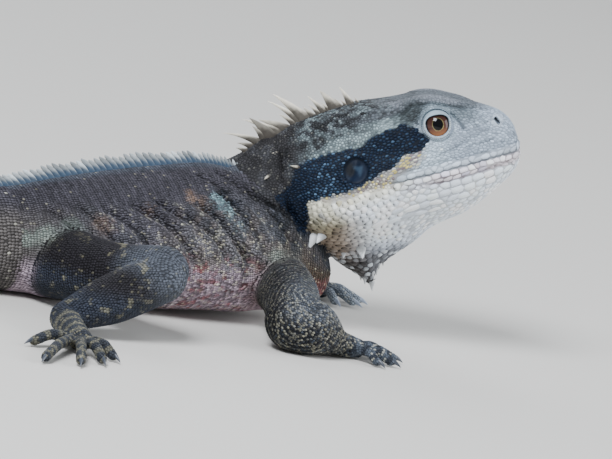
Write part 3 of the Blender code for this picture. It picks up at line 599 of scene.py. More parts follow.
class Anatomy:
    """Every form of the animal, as the solids have it."""

    def __init__(self) -> None:
        """Builds the forms from the driving sizes."""
        head = [self.head_station(row) for row in HEAD_STATIONS]
        self.front = BodyTube(Region.HEAD, head + NECK_STATIONS, self.sculpt_head)
        self.neck_start = self.front.places[len(HEAD_STATIONS) - 1]
        self.body = BodyTube(Region.TRUNK, TRUNK_STATIONS + self.tail_stations())
        self.pelvis = self.body.places[len(TRUNK_STATIONS) - 1]
        self.limbs = []
        self.claws = {}
        for side in ("right", "left"):
            for chain in (ARMS[side], LEGS[side]):
                for name, limb in chain.items():
                    full = f"{side}_{name}"
                    self.limbs.append(LimbTube(LIMB_REGIONS[name], limb))
                    if full in DIGITS:
                        self.add_digits(full, LIMB_REGIONS[name])

    @staticmethod
    def head_station(row: HeadStation) -> Station:
        """A head row as a station of the animal's frame."""
        centre = from_head([row.s, 0.0, row.widest])
        up = row.top - row.widest
        down = row.widest - row.bottom
        return Station(*centre, HEAD_PITCH, 0.0, up, down, row.half, row.top_power, row.low_power)

    @staticmethod
    def sculpt_head(points: Array) -> Array:
        """Gives the points of the plain head its brows, cheeks, jowls and temples."""
        local = to_head(points)
        for centre, radii, push in HEAD_SWELLS:
            for mirror in MIRRORS:
                weight = np.exp(-(((local - np.array(centre) * mirror) / np.array(radii)) ** 2).sum(axis=1))
                local = local + weight[:, None] * (np.array(push) * mirror)
        return from_head(local)

    @staticmethod
    def tail_stations() -> list[Station]:
        """The tail's stations, by stepping along its headings from the last trunk station."""
        places = np.arange(0.0, TAIL_LENGTH + TAIL_STEP / 2, TAIL_STEP)
        knots, headings = zip(*TAIL_HEADINGS)
        heading = np.radians(smooth_values(knots, headings, places)[:, 0])
        moves = np.stack([np.cos(heading), np.sin(heading)], axis=1) * TAIL_STEP
        start = np.array(TRUNK_STATIONS[-1][:2], float)
        track = start + np.vstack([[0.0, 0.0], np.cumsum(moves[:-1], axis=0)])
        rows = []
        for distance in places[1:]:
            index = int(round(distance / TAIL_STEP))
            sizes = [(0, *TRUNK_STATIONS[-1][5:8])] + TAIL_SIZES
            known = [row[0] for row in sizes]
            up, down, half = smooth_values(known, [row[1:] for row in sizes], [distance])[0]
            pitch = 8.0 * max(0.0, 1 - distance / 60.0)
            yaw = math.degrees(heading[index]) - 180.0
            rows.append(Station(*track[index], down - FLOOR_DIP, pitch, yaw, up, down, half, 1.8, 2.2))
        return rows

    def add_digits(self, full: str, region: Region) -> None:
        """Adds the toes of a hand or foot, and notes where each claw grows."""
        digits = DIGITS[full]
        middle = math.radians(np.mean(digits.headings[1:4]))
        across = np.array([-math.sin(middle), math.cos(middle), 0.0])
        for order, (heading, length) in enumerate(zip(digits.headings, digits.lengths)):
            angle = math.radians(heading)
            way = np.array([math.cos(angle), math.sin(angle), 0.0])
            root = np.array(digits.root) + across * (order - 2) * digits.spread
            thick = digits.radius
            arch = root + way * length * 0.5 + np.array([0, 0, thick * 0.5])
            tip = root + way * length
            tip[2] = thick * 0.85
            limb = Limb((root - way * 2.0, arch, tip), (thick, thick * 0.92, thick * 0.85))
            self.limbs.append(LimbTube(region, limb))
            self.claws[f"{full}_claw_{order + 1}"] = (tip, way)

    def tubes(self) -> list[Tube]:
        """Every form, the largest first."""
        return [self.front, self.body, *self.limbs]

    def region_of(self, tube: Tube, places: Array) -> Array:
        """What each place along a form belongs to."""
        region = np.full(len(places), tube.region.value)
        if tube is self.front:
            region[places > self.neck_start] = Region.NECK.value
        if tube is self.body:
            region[places > self.pelvis] = Region.TAIL.value
        return region

    def place_in_head(self, s: float) -> float:
        """The place along the front form whose section stands at s of the head's frame."""
        return float(np.interp(-s, -to_head(self.front.rows[:, :3])[:, 0], self.front.places))


class Lighting(Enum):
    """Where each soft light stands: its place, size and power."""

    KEY = ((-0.3, -1.0, 1.3), 0.62, 43.5)
    FRONT = ((1.4, 0.15, 0.5), 1.0, 19.0)
    BACK = ((-0.3, 1.3, 1.2), 1.2, 12.0)


def add_node(tree, kind: str, settings: dict | None = None, links: dict | None = None):
    """Adds a shader node, sets its attributes and inputs, and links its inputs.

    Args:
        tree: The node tree.
        kind: Blender's name of the node type, without the word ShaderNode.
        settings: Values by the name of an attribute, or by the name or number of an input.
        links: Output sockets by the name or number of the input that each feeds.

    Returns:
        The node.
    """
    node = tree.nodes.new(f"ShaderNode{kind}")
    for name, value in (settings or {}).items():
        if isinstance(name, str) and hasattr(node, name):
            setattr(node, name, value)
        else:
            node.inputs[name].default_value = value
    for name, output in (links or {}).items():
        tree.links.new(output, node.inputs[name])
    return node


def add_range(tree, value, start: float, end: float, low: float = 0.0, high: float = 1.0):
    """Turns a value that runs from start to end into one that runs from low to high."""
    limits = {"From Min": start, "From Max": end, "To Min": low, "To Max": high}
    return add_node(tree, "MapRange", limits, {"Value": value}).outputs[0]


def add_mix(tree, share, first, second):
    """Blends two colours, each given as an output socket or as a hex value."""
    node = add_node(tree, "Mix", {"data_type": "RGBA"}, {0: share})
    for number, colour in ((6, first), (7, second)):
        if isinstance(colour, str):
            node.inputs[number].default_value = (*linear(colour), 1.0)
        else:
            tree.links.new(colour, node.inputs[number])
    return node.outputs[2]


@dataclass(frozen=True)
class Grain:
    """The fine unevenness of a surface: the size of its bumps, their detail, strength and depth."""

    size_mm: float
    detail: float
    roughness: float = 0.5
    strength: float = 0.2
    depth_mm: float = 0.1

    def noise(self, tree):
        """Adds the noise itself, in the piece's own real millimetres."""
        place = add_node(tree, "TexCoord")
        settings = {"Scale": 1 / (self.size_mm * MM), "Detail": self.detail, "Roughness": self.roughness}
        return add_node(tree, "TexNoise", settings, {"Vector": place.outputs["Object"]}).outputs[0]

    def roughen(self, tree, shader, noise) -> None:
        """Lets the noise raise and dent the surface."""
        settings = {"Strength": self.strength, "Distance": self.depth_mm * MM}
        bump = add_node(tree, "Bump", settings, {"Height": noise})
        tree.links.new(bump.outputs[0], shader.inputs["Normal"])


@dataclass(frozen=True)
class Finish:
    """A material with a name, and the way it mirrors light."""

    name: str
    ior: float = 1.5
    specular: float = 0.5

    def start(self) -> tuple:
        """Makes the material with its node tree and its shader."""
        material = bpy.data.materials.new(self.name)
        material.use_nodes = True
        tree = material.node_tree
        shader = tree.nodes["Principled BSDF"]
        shader.inputs["IOR"].default_value = self.ior
        shader.inputs["Specular IOR Level"].default_value = self.specular
        return material, tree, shader

    @staticmethod
    def marked(tree, shader, grain: Grain, darkest: float, palest: float):
        """Colours the material by the markings, uneven with its grain.

        Args:
            tree: The node tree.
            shader: The shader node.
            grain: The surface's unevenness.
            darkest: Brightness where the grain is lowest.
            palest: Brightness where it is highest.

        Returns:
            The node that reads the markings.
        """
        marks = add_node(tree, "Attribute", {"attribute_name": "markings"})
        noise = grain.noise(tree)
        tone = add_range(tree, noise, 0.0, 1.0, darkest, palest)
        links = {0: marks.outputs["Color"], "Scale": tone}
        colour = add_node(tree, "VectorMath", {"operation": "SCALE"}, links)
        tree.links.new(colour.outputs[0], shader.inputs["Base Color"])
        grain.roughen(tree, shader, noise)
        return marks


@dataclass(frozen=True)
class BareSkin(Finish):
    """Living reptile skin between the scales: fine, matt, faintly moist hide."""

    name: str = "bare_hide_between_scales"
    ior: float = 1.45
    specular: float = 0.25
    roughness: float = 0.62
    wrinkles: Grain = Grain(0.9, 4.0, 0.6, 0.25, 0.3)

    def build(self):
        """Makes the material; its wrinkles keep the hide from looking like painted plastic."""
        material, tree, shader = self.start()
        self.marked(tree, shader, self.wrinkles, 0.7, 1.25)
        shader.inputs["Roughness"].default_value = self.roughness
        return material


@dataclass(frozen=True)
class ScaleHorn(Finish):
    """Beta-keratin scales, grown: hard, smooth plates that catch a satin gleam from the sky."""

    name: str = "keratin_scales"
    specular: float = 0.22
    polished: float = 0.34
    rough: float = 0.6
    grain: Grain = Grain(0.35, 3.0, 0.55, 0.2, 0.15)

    def build(self):
        """Makes the material; the markings' alpha says how polished each scale is."""
        material, tree, shader = self.start()
        marks = self.marked(tree, shader, self.grain, 0.82, 1.16)
        polish = add_range(tree, marks.outputs["Alpha"], 0.0, 1.0, self.rough, self.polished)
        tree.links.new(polish, shader.inputs["Roughness"])
        return material


@dataclass(frozen=True)
class ClawHorn(Finish):
    """Dense claw keratin, grown and worn: dark, layered horn with a soft polish."""

    name: str = "claw_keratin"
    ior: float = 1.56
    dark: str = "22242b"
    light: str = "4f5661"
    roughness: float = 0.32
    layers: Grain = Grain(0.5, 3.0)

    def build(self):
        """Makes the material; faint layers along the claw break the reflection as real horn does."""
        material, tree, shader = self.start()
        noise = self.layers.noise(tree)
        tree.links.new(add_mix(tree, noise, self.dark, self.light), shader.inputs["Base Color"])
        self.layers.roughen(tree, shader, noise)
        shader.inputs["Roughness"].default_value = self.roughness
        return material


@dataclass(frozen=True)
class WetEye(Finish):
    """A living eye: a coppery iris under a wet, clear cornea that mirrors the sky."""

    name: str = "wet_copper_eye"
    ior: float = 1.38
    specular: float = 0.0
    pupil_mm: float = 1.95
    pupil_edge_mm: float = 0.12
    pupil_height: float = 1.16
    iris_mm: float = 4.5
    pupil: str = "07080a"
    inner: str = "8c8256"
    copper: str = "4a2f28"
    amber: str = "8a5a36"
    outer: str = "15171c"
    low_glow: float = 1.7
    high_shade: float = 0.16
    streaks: Grain = Grain(0.55, 4.0, 0.65)
    streak_mm: float = 0.45

    def build(self):
        """Makes the material; rings follow the distance from the eye's own +Z axis."""
        material, tree, shader = self.start()
        place = add_node(tree, "TexCoord")
        split = add_node(tree, "SeparateXYZ", links={"Vector": place.outputs["Object"]})
        height = split.outputs["Y"]
        squeezed = add_node(tree, "Math", {"operation": "DIVIDE", 1: self.pupil_height}, {0: height})
        flat = add_node(tree, "CombineXYZ", links={"X": split.outputs["X"], "Y": squeezed.outputs[0]})
        length = add_node(tree, "VectorMath", {"operation": "LENGTH"}, {0: flat.outputs[0]})
        distance = length.outputs["Value"]
        streak = self.streak_mm * MM
        wobble = add_range(tree, self.streaks.noise(tree), 0.0, 1.0, -streak, streak)
        reach = add_node(tree, "Math", {"operation": "ADD"}, {0: distance, 1: wobble})
        share = add_range(tree, reach.outputs[0], self.pupil_mm * MM, self.iris_mm * MM)
        edge = [(self.pupil_mm + side * self.pupil_edge_mm) * MM for side in (-1, 1)]
        outside = add_range(tree, distance, *edge)
        depth = add_range(tree, height, -3.9 * MM, -1.2 * MM, 0.85, 0.0)
        ringed = add_range(tree, share, 0.86, 0.66)
        warm = add_node(tree, "Math", {"operation": "MULTIPLY"}, {0: depth, 1: ringed})
        golden = add_mix(tree, warm.outputs[0], self.rings(tree, share), self.amber)
        mixed = add_mix(tree, outside, self.pupil, golden)
        reach_mm = self.iris_mm * MM
        # Painted light and shade on the iris: brighter low down and darker high up, under the upper lid.
        glow = add_range(tree, height, -reach_mm, reach_mm, self.low_glow, self.high_shade)
        lit = add_node(tree, "VectorMath", {"operation": "SCALE"}, {0: mixed, "Scale": glow})
        tree.links.new(lit.outputs[0], shader.inputs["Base Color"])
        wet = {"Roughness": 0.4, "Coat Weight": 0.55, "Coat Roughness": 0.02}
        for name, value in wet.items():
            shader.inputs[name].default_value = value
        return material

    def rings(self, tree, share):
        """The rings of the iris, from the pupil's edge to the dark rim."""
        node = add_node(tree, "ValToRGB", links={"Fac": share})
        elements = node.color_ramp.elements
        hues = (self.inner, self.inner, self.copper, self.copper, self.outer)
        while len(elements) < len(hues):
            elements.new(0.5)
        for element, position, hue in zip(elements, (0.0, 0.03, 0.11, 0.6, 0.82), hues):
            element.position = position
            element.color = (*linear(hue), 1.0)
        return node.outputs[0]


@dataclass
class Sites:
    """Where scales grow: a place, the way they lie, and what they belong to."""

    points: Array
    lie: Array
    region: Array
    place: Array
    turn: Array
    size: Array
    form: Array
    chart: Array
    normal: Array

    @classmethod
    def join(cls, parts: list["Sites"]) -> "Sites":
        """Puts several lots of sites into one."""
        return cls(*[np.concatenate([getattr(part, item.name) for part in parts]) for item in fields(cls)])

    def pick(self, chosen: Array) -> "Sites":
        """The sites that a mask or an index names."""
        return Sites(*[getattr(self, item.name)[chosen] for item in fields(self)])

    def among(self, *regions: Region) -> Array:
        """Says which sites belong to one of the regions."""
        return np.isin(self.region, [region.value for region in regions])

    def noise(self, size: float, seed: int) -> Array:
        """A smooth random value for each site."""
        return value_noise(self.points, size, seed)

    def __len__(self) -> int:
        """How many sites there are."""
        return len(self.points)


@dataclass(frozen=True)
class Hues:
    """The animal's colours as sRGB hex values."""

    snout: str = "a2afbd"
    crown: str = "5b6268"
    ridge: str = "7e848c"
    brow: str = "5c686c"
    cheek: str = "b5c5d1"
    temple: str = "8b9c9f"
    jaw: str = "eef6ff"
    jowl: str = "f1f8ff"
    throat: str = "dde7f6"
    tan: str = "8c7150"
    pouch: str = "3a3738"
    lip: str = "f0e9ee"
    seam: str = "54343a"
    band: str = "071a30"
    band_light: str = "5c7d9c"
    drum: str = "03070e"
    drum_light: str = "07192f"
    yellow: str = "cbb856"
    nape: str = "484c50"
    neck: str = "302f31"
    back: str = "413f46"
    flank: str = "57555c"
    front_flank: str = "505156"
    shoulder: str = "3a3d43"
    belly: str = "c6b3c0"
    red: str = "9c4547"
    rump: str = "5a5654"
    arm: str = "333338"
    low_arm: str = "171b24"
    hand: str = "66707c"
    thigh: str = "211f23"
    knee: str = "51565f"
    shank: str = "2b303b"
    foot: str = "2d3138"
    spot: str = "8f8a70"
    fleck: str = "c4c2b2"
    orange: str = "8f745f"
    turquoise: str = "7f9ea4"
    tail_dark: str = "2a2a30"
    tail_light: str = "7d796f"
    plate: str = "b9c4cf"
    lid: str = "a3b6c2"
    hollow: str = "171c25"
    cream: str = "d8d2b4"
    pale_flank: str = "6c6a6d"
    mint: str = "8d9c92"
    rim: str = "d5dcd2"
    lilac: str = "8b93bd"


# The dark band from eye to shoulder, as an outline over the side of the head (s, t)
BAND_OUTLINE = [
    (29, 5), (26, 9), (21.5, 12.4), (13.5, 11.5), (3.6, 7.4), (-10.6, 7), (-20.6, 4.3), (-24, -1.6),
    (-30, -5), (-27.6, -10), (-25.4, -14.4), (-22.3, -22), (-19, -16), (-19, -9.6), (-11, -8.2),
    (-7, -8), (-1.5, -6.9), (6.7, -4.6), (13.7, -2.4), (18.7, 1.2), (26, 2.2),
]
# The lit fold in the ear drum, from its middle (s, t)
DRUM_FOLD = [(-0.9, 1.6), (2.7, 1.0), (2.4, -0.4), (1.1, -2.4), (0.6, -0.6)]
# The tan strip with yellow flecks under the band
STRIP_OUTLINE = [
    (27, 3), (24, 4), (14, 0), (6, -3), (-2, -5), (-13, -8), (-13, -10.5), (-4, -10.5), (3, -9), (10, -8.5),
    (16, -6.5), (21, -4), (25, -1),
]
# Height of the ridge over the eye and the snout, along s
BROW_LEVEL = (
    [2.0, 12.0, 20.0, 25.0, 30.0, 38.0, 44.0, 54.0],
    [15.0, 15.6, 16.2, 18.2, 18.2, 15.6, 13.6, 9.8],
)
# Fine creases of the head, darkened with painted shade, in (s, t), with how strongly each shows
HEAD_CREASES = [
    (((17.5, 14.5), (21.5, 16.3), (25.5, 18.3), (31.0, 18.0), (38.0, 15.6), (44.0, 13.4)), 0.62),
    (((37.8, 13.6), (40.4, 10.2), (42.0, 6.6)), 0.6),
    (((21.5, 9.8), (23.5, 6.4), (27.0, 3.6)), 0.35),
    (((28.0, -0.4), (33.0, -0.6), (37.0, 0.6), (42.0, 3.0), (47.0, 3.6)), 0.42),
    (((43.0, 5.6), (48.0, 4.6), (52.0, 4.4)), 0.3),
]
# Middles of the whorls in which the scales of the right arm lie
ARM_WHORLS = [(-26.8, -72.0, 13.8), (-24.1, -62.0, 23.0)]
# Height of the seam under the lip plates of the lower jaw, along s
JAW_SEAM = ([27.0, 32.7, 40.4, 46.8, 56.0], [-10.6, -10.9, -10.6, -10.0, -8.6])


# Rows of plates along the jaws: height over the mouth line, first and last s, length and width
JAW_ROWS = [
    (1.3, 58.5, 14.0, 3.7, 1.6),
    (-1.35, 58.5, 16.0, 3.3, 1.7),
    (-3.2, 56.5, 24.0, 3.6, 1.5),
    (-5.5, 55.0, 27.0, 4.3, 2.3),
    (-8.2, 48.0, 20.0, 4.6, 2.5),
    (-10.9, 38.0, 8.0, 5.4, 2.3),
    (-13.6, 27.0, 4.0, 5.6, 2.2),
]
# Patches of the flank: place along the trunk, degrees down from its top, reach, hue and strength; the darkest
# patches are painted shade along the furrow behind the shoulder
TRUNK_PATCHES = [
    (53, 46, 3.4, "turquoise", 0.75),
    (49.5, 54, 3.0, "turquoise", 0.6),
    (45, 66, 2.6, "turquoise", 0.3),
    (49, 42, 2.2, "hollow", 0.9),
    (45, 50, 2.6, "hollow", 0.95),
    (41, 58, 2.4, "hollow", 0.8),
    (27, 88, 5.0, "mint", 0.8),
    (64, 43, 3.0, "orange", 0.5),
    (60, 48, 2.4, "orange", 0.35),
    (84, 52, 2.6, "orange", 0.3),
    (104, 62, 4.5, "orange", 0.4),
    (116, 65, 4.5, "mint", 0.6),
    (124, 71, 5.0, "mint", 0.7),
    (132, 76, 5.0, "mint", 0.55),
]


@dataclass
class Fold:
    """One furrow of loose skin: its line, its depth and its width."""

    line: Array
    depth: float
    width: float

    @staticmethod
    def fade(share: Array) -> Array:
        """How strongly the furrow shows along its line, less at both ends."""
        return ramp(0.0, 0.2, share) * ramp(1.0, 0.75, share)


# Furrows over the trunk: places along it, degrees down from the top of the back, depth and width
FOLDS = [
    ((52, 44, 39, 29, 24, 16), (13, 26, 35, 46, 56, 72), 3.0, 1.4),
    ((40, 34, 27, 20), (27, 36, 40, 46), 2.2, 1.0),
    ((66, 59, 53, 48, 43, 40), (45, 54, 65, 81, 95, 108), 3.4, 1.5),
    ((81, 75, 69, 64), (42, 53, 61, 66), 3.0, 1.3),
    ((92, 85, 79, 74, 70, 66), (44, 53, 62, 75, 92, 104), 3.2, 1.5),
    ((54, 47, 41, 36, 32), (35, 47, 59, 73, 93), 3.2, 1.3),
    ((51, 45, 40, 36, 34), (44, 57, 70, 82, 96), 2.4, 1.0),
    ((60, 53, 47, 43), (52, 67, 82, 98), 1.8, 0.9),
    ((72, 65, 58, 53), (50, 63, 77, 98), 2.0, 1.1),
    ((102, 94, 89, 86), (45, 62, 78, 96), 2.4, 1.4),
    ((112, 105, 99), (42, 62, 88), 2.0, 1.4),
    ((124, 117, 111), (42, 60, 80), 1.6, 1.3),
    ((60, 52, 45), (20, 32, 44), 1.4, 0.9),
    ((34, 27, 20, 15), (24, 34, 44, 56), 1.8, 0.9),
]
# Furrows of the neck, in the head's frame
NECK_FOLDS = [
    (((-24, 12, 14), (-25, 17, 6), (-27, 20, -2), (-26, 21, -12), (-22.5, 19, -24)), 2.4, 1.3),
    (((-30, 12, 11), (-33, 17, 2), (-33, 20, -8), (-30, 20, -18), (-26, 18, -28)), 2.8, 1.4),
    (((-37, 12, 8), (-40, 17, -2), (-39, 20, -12), (-35, 19, -22)), 2.2, 1.3),
]


def loose_skin(points: Array) -> Array:
    """Says which points lie where the skin hangs in folds."""
    return (points[:, 0] < -22) & (points[:, 0] > -165) & (points[:, 2] > 4)


def fold_lines(anatomy: Anatomy) -> list[Fold]:
    """The furrows of loose skin, on both sides, as lines over the trunk and the neck."""
    lines = []
    fine = np.linspace(0, 1, 22)
    for places, turns, depth, width in FOLDS:
        knots = np.linspace(0, 1, len(places))
        place = smooth_values(knots, places, fine)[:, 0]
        turn = smooth_values(knots, turns, fine)[:, 0]
        for side in (1, -1):
            angle = math.pi / 2 + side * np.radians(turn)
            lines.append(Fold(anatomy.body.surface(place, angle, -SKIN_DEPTH), depth, width))
    for bends, depth, width in NECK_FOLDS:
        knots = np.linspace(0, 1, len(bends))
        for mirror in MIRRORS:
            line = smooth_values(knots, np.array(bends, float) * mirror, fine)
            lines.append(Fold(from_head(line), depth, width))
    return lines


class Paint:
    """The colours of many sites, laid on coat by coat."""

    def __init__(self, hue: dict[str, Array], first: str, count: int) -> None:
        """Lays the first colour on every site."""
        self.hue = hue
        self.colour = np.tile(hue[first], (count, 1))

    def coat(self, name: str, share: Array | float, brightness: float = 1.0) -> None:
        """Blends a colour in by share."""
        self.colour = mix(self.colour, brightness * self.hue[name], share)

    def shade(self, brightness: Array) -> None:
        """Makes each site darker or brighter."""
        self.colour = self.colour * brightness[:, None]


class Markings:
    """The animal's colours, worked out from where a point lies on it."""

    def __init__(self, anatomy: Anatomy) -> None:
        """Keeps the forms and turns the hues to linear colours."""
        self.anatomy = anatomy
        self.hue = {name: linear(value) for name, value in vars(Hues()).items()}
        self.folds = fold_lines(anatomy)

    def colours(self, sites: Sites, draw: np.random.Generator, strength: float) -> tuple[Array, Array]:
        """The colour and the polish of each site.

        Args:
            sites: Where to paint.
            draw: Random numbers for the speckle.
            strength: How strongly single scales differ, 0 for bare skin.

        Returns:
            Linear colours, and polish from 0 to 1.
        """
        count = len(sites)
        colour = np.tile(self.hue["flank"], (count, 1))
        polish = np.full(count, 0.45)
        tone = draw.normal(0.0, 1.0, count) * strength
        rare = draw.random(count)
        painters = {
            Region.HEAD: self.paint_head,
            Region.NECK: self.paint_head,
            Region.TRUNK: self.paint_trunk,
            Region.TAIL: self.paint_tail,
            Region.ARM: self.paint_arm,
            Region.HAND: self.paint_hand,
            Region.LEG: self.paint_leg,
            Region.FOOT: self.paint_foot,
        }
        for region, paint in painters.items():
            chosen = sites.among(region)
            if chosen.any():
                here = sites.pick(chosen)
                colour[chosen], polish[chosen] = paint(here, rare[chosen], strength > 0)
        front = sites.among(Region.HEAD, Region.NECK) | (sites.among(Region.TRUNK) & (sites.place < 30))
        if front.any():
            here = sites.pick(front)
            band = self.paint_band(here, colour[front], polish[front], rare[front], strength > 0)
            colour[front], polish[front] = band
        blotch = sites.noise(5.0, 3)
        colour = colour * (0.86 + 0.28 * blotch)[:, None]
        # Painted shade in the furrows of the loose skin.
        colour = colour * (1 - 0.84 * self.furrow(sites.points))[:, None]
        colour = colour * np.exp(tone)[:, None]
        return np.clip(colour, 0.0, 0.95), np.clip(polish, 0, 1)

    def furrow(self, points: Array) -> Array:
        """How deep each point lies in a furrow of loose skin, from 0 to 1; the colours are darkened by it as
        painted shade.
        """
        depth = np.zeros(len(points))
        near = np.flatnonzero(loose_skin(points))
        for fold in self.folds:
            distance, share = path_distance(points[near], fold.line)
            here = fold.fade(share) * bell(distance, 0.66 * fold.width)
            depth[near] = np.maximum(depth[near], here * min(1.0, fold.depth / 2.2))
        return depth

    def paint_head(self, here: Sites, rare: Array, speckled: bool) -> tuple:
        """Pale blue-grey snout and cheek, grey crown, white jaw and jowl, grey-brown nape and neck."""
        local = to_head(here.points)
        s, y, t = local[:, 0], np.abs(local[:, 1]), local[:, 2]
        paint = Paint(self.hue, "snout", len(here))
        paint.coat("cheek", ramp(40, 30, s) * ramp(9, 3, t))
        paint.coat("temple", ramp(27, 21, s) * ramp(3, 7, t))
        streak = value_noise(local * np.array([0.42, 1.0, 1.7]), 1.5, 44)
        rows = value_noise(local * np.array([0.3, 0.6, 1.4]), 2.6, 45)
        paint.shade(0.72 + 0.34 * streak + 0.26 * rows)
        dash = ramp(0.62, 0.78, streak) * ramp(0.45, 0.7, rows) * ramp(30, 38, s)
        paint.coat("brow", 0.6 * dash, 0.45)
        over = t - smooth_values(*BROW_LEVEL, s)[:, 0]
        brow = ramp(-7.5, -3.0, over) * ramp(18, 26, s) * ramp(52, 44, s)
        paint.coat("brow", 0.75 * brow * ramp(3, 7, y))
        paint.coat("crown", ramp(-1.0, 0.4, over) * ramp(56, 46, s))
        ridge = ramp(0.2, 1.2, over) * ramp(12, 20, s) * ramp(46, 38, s)
        paint.coat("ridge", ridge * ramp(4, 8, y))
        darker = here.noise(2.4, 41)
        nape = ramp(-3.5, 3.5, t - 13.0 - 0.42 * s + 8 * (darker - 0.5)) * ramp(24, 14, s)
        paint.coat("nape", nape)
        mottle = here.noise(1.5, 42)
        patch = ramp(0.4, 0.62, here.noise(5.0, 46))
        paint.coat("temple", 0.62 * nape * ramp(0.5, 0.64, mottle) * (0.3 + 0.7 * patch))
        paint.coat("nape", 0.85 * nape * ramp(0.48, 0.34, mottle), 0.25)
        self.paint_eye_surround(paint, here)
        # Painted shade: dark, broken lines along the head's creases.
        for bends, share in HEAD_CREASES:
            away, _ = path_distance(local[:, [0, 2]], np.array(bends))
            dashes = 0.55 + 0.45 * ramp(0.35, 0.6, here.noise(1.3, 43))
            paint.coat("brow", share * dashes * bell(away, 0.6) * (y > 5), 0.2)
        nostril = np.hypot(s - NOSTRIL[0], t - NOSTRIL[2]) + 9 * (y < 3)
        paint.coat("plate", 0.55 * ramp(3.2, 1.8, nostril) * (s > 48))
        upper = ramp(3.4, 2.2, t - mouth_line(s)) * ramp(12, 20, s)
        paint.coat("jaw", 0.34 * upper)
        below = ramp(0.5, -1.0, t - mouth_line(s))
        jaw = Paint(self.hue, "jaw", len(here))
        jaw.coat("jowl", ramp(24, 8, s))
        jaw.coat("throat", ramp(-26, -34, t))
        lip = below * ramp(-4.6, -3.2, t - mouth_line(s)) * ramp(18, 30, s)
        jaw.coat("lip", lip)
        jaw.shade(0.84 + 0.12 * streak + 0.16 * rows)
        violet = lip * ramp(0.55, 0.7, streak) * ramp(52, 44, s)
        jaw.coat("lilac", 0.4 * violet)
        tan = ramp(5, -11, s) * ramp(-12, -21, t + 3 * (darker - 0.5))
        jaw.coat("tan", 0.86 * tan)
        jaw.coat("pouch", ramp(-28, -37, t + 4 * (darker - 0.5)) * 0.9)
        jowl = np.maximum(below * ramp(6, 14, s), ramp(16, 10, s) * ramp(0, -5, t))
        paint.colour = mix(paint.colour, jaw.colour, jowl)
        edge = polygon_share(local[:, [0, 2]] + np.array([0.0, 3.5]), STRIP_OUTLINE, 3.0)
        cream = ramp(0, -12, s) * ramp(-26, -16, t)
        cream = cream * (0.35 + 0.65 * ramp(0.3, 0.6, darker))
        paint.coat("cream", np.maximum(0.6 * cream, 0.5 * edge) * jowl)
        paint.coat("yellow", 0.2 * np.maximum(cream, 0.8 * edge) * jowl)
        paint.coat("seam", 0.5 * bell(self.jaw_seam(s, t), 0.6))
        behind = ramp(-14.0, -25.0, s + 9 * (darker - 0.5) + 4.5 * ramp(-14, -22, t))
        paint.colour = mix(paint.colour, self.neck_colour(here, local), behind)
        if speckled:
            flecked = (rare < 0.09) & (s < 4) & ((t > 6) | (behind > 0.5))
            paint.coat("fleck", 0.1 * flecked)
            peppered = (rare > 0.84) & (s < 27) & (t > 5)
            paint.shade(np.where(peppered, 0.45, 1.0))
            brown = (rare > 0.6) & (jowl > 0.5) & (tan > 0.25) & (rare < 0.74)
            paint.shade(np.where(brown, 0.45, 1.0))
            bag = ramp(-29, -36, t) * jowl
            white = np.where(rare < 0.3, 0.5, np.where(rare < 0.5, 0.2, 0.0))
            paint.coat("jowl", white * bag)
            paint.shade(np.where((jowl > 0.5) & (rare > 0.9) & (s > 10), 0.7, 1.0))
        return paint.colour, 0.42 + 0.25 * jowl * (1 - behind)

    @staticmethod
    def paint_eye_surround(paint: Paint, here: Sites) -> None:
        """Smooth pale upper lid, painted shade over the crease above it and behind the eye, and paler grains
        below the eye.
        """
        for side in (1, -1):
            forward, up, out = EyeSite(side).local(here.points).T
            reach = np.hypot(forward, up * 0.94)
            close = ramp(9.0, 5.5, reach) * (out > -4)
            high = ramp(-0.2, 0.35, up / np.maximum(reach, 1e-6))
            back = ramp(0.1, 0.8, -forward / np.maximum(reach, 1e-6))
            paint.coat("lid", 0.8 * close * high)
            paint.coat("cheek", 0.8 * close * (1 - high))
            # Painted shade in the socket above the eye, strongest behind it.
            socket_shade = ramp(5.5, 8.0, reach) * ramp(19.0, 11.0, reach) * (0.15 + 0.85 * back)
            socket_shade = socket_shade * ramp(-0.1, 0.4, up / np.maximum(reach, 1e-6))
            paint.coat("brow", 0.92 * socket_shade * (out > -8), 0.3)

    def jaw_seam(self, s: Array, t: Array) -> Array:
        """Distance from the dark seam under the row of lip plates, in millimetres."""
        seam = smooth_values(*JAW_SEAM, s)[:, 0]
        outside = np.maximum(np.maximum(JAW_SEAM[0][0] - s, s - JAW_SEAM[0][-1]), 0.0)
        return np.hypot(t - seam, outside)

    def neck_colour(self, here: Sites, local: Array) -> Array:
        """Grey-brown neck, paler in patches high up, darkened low down under the pouch with painted shade,
        and reddish there.
        """
        paint = Paint(self.hue, "neck", len(here))
        pale = ramp(0.5, 0.75, here.noise(4.0, 51))
        paint.coat("front_flank", 0.5 * pale)
        # Painted shade: the neck is darkened low down, under the pouch.
        low = ramp(-22, -32, local[:, 2])
        paint.coat("neck", low, 0.45)
        red = ramp(-30, -38, local[:, 2]) * ramp(-28, -20, local[:, 0])
        paint.coat("red", 0.5 * red, 0.5)
        return paint.colour

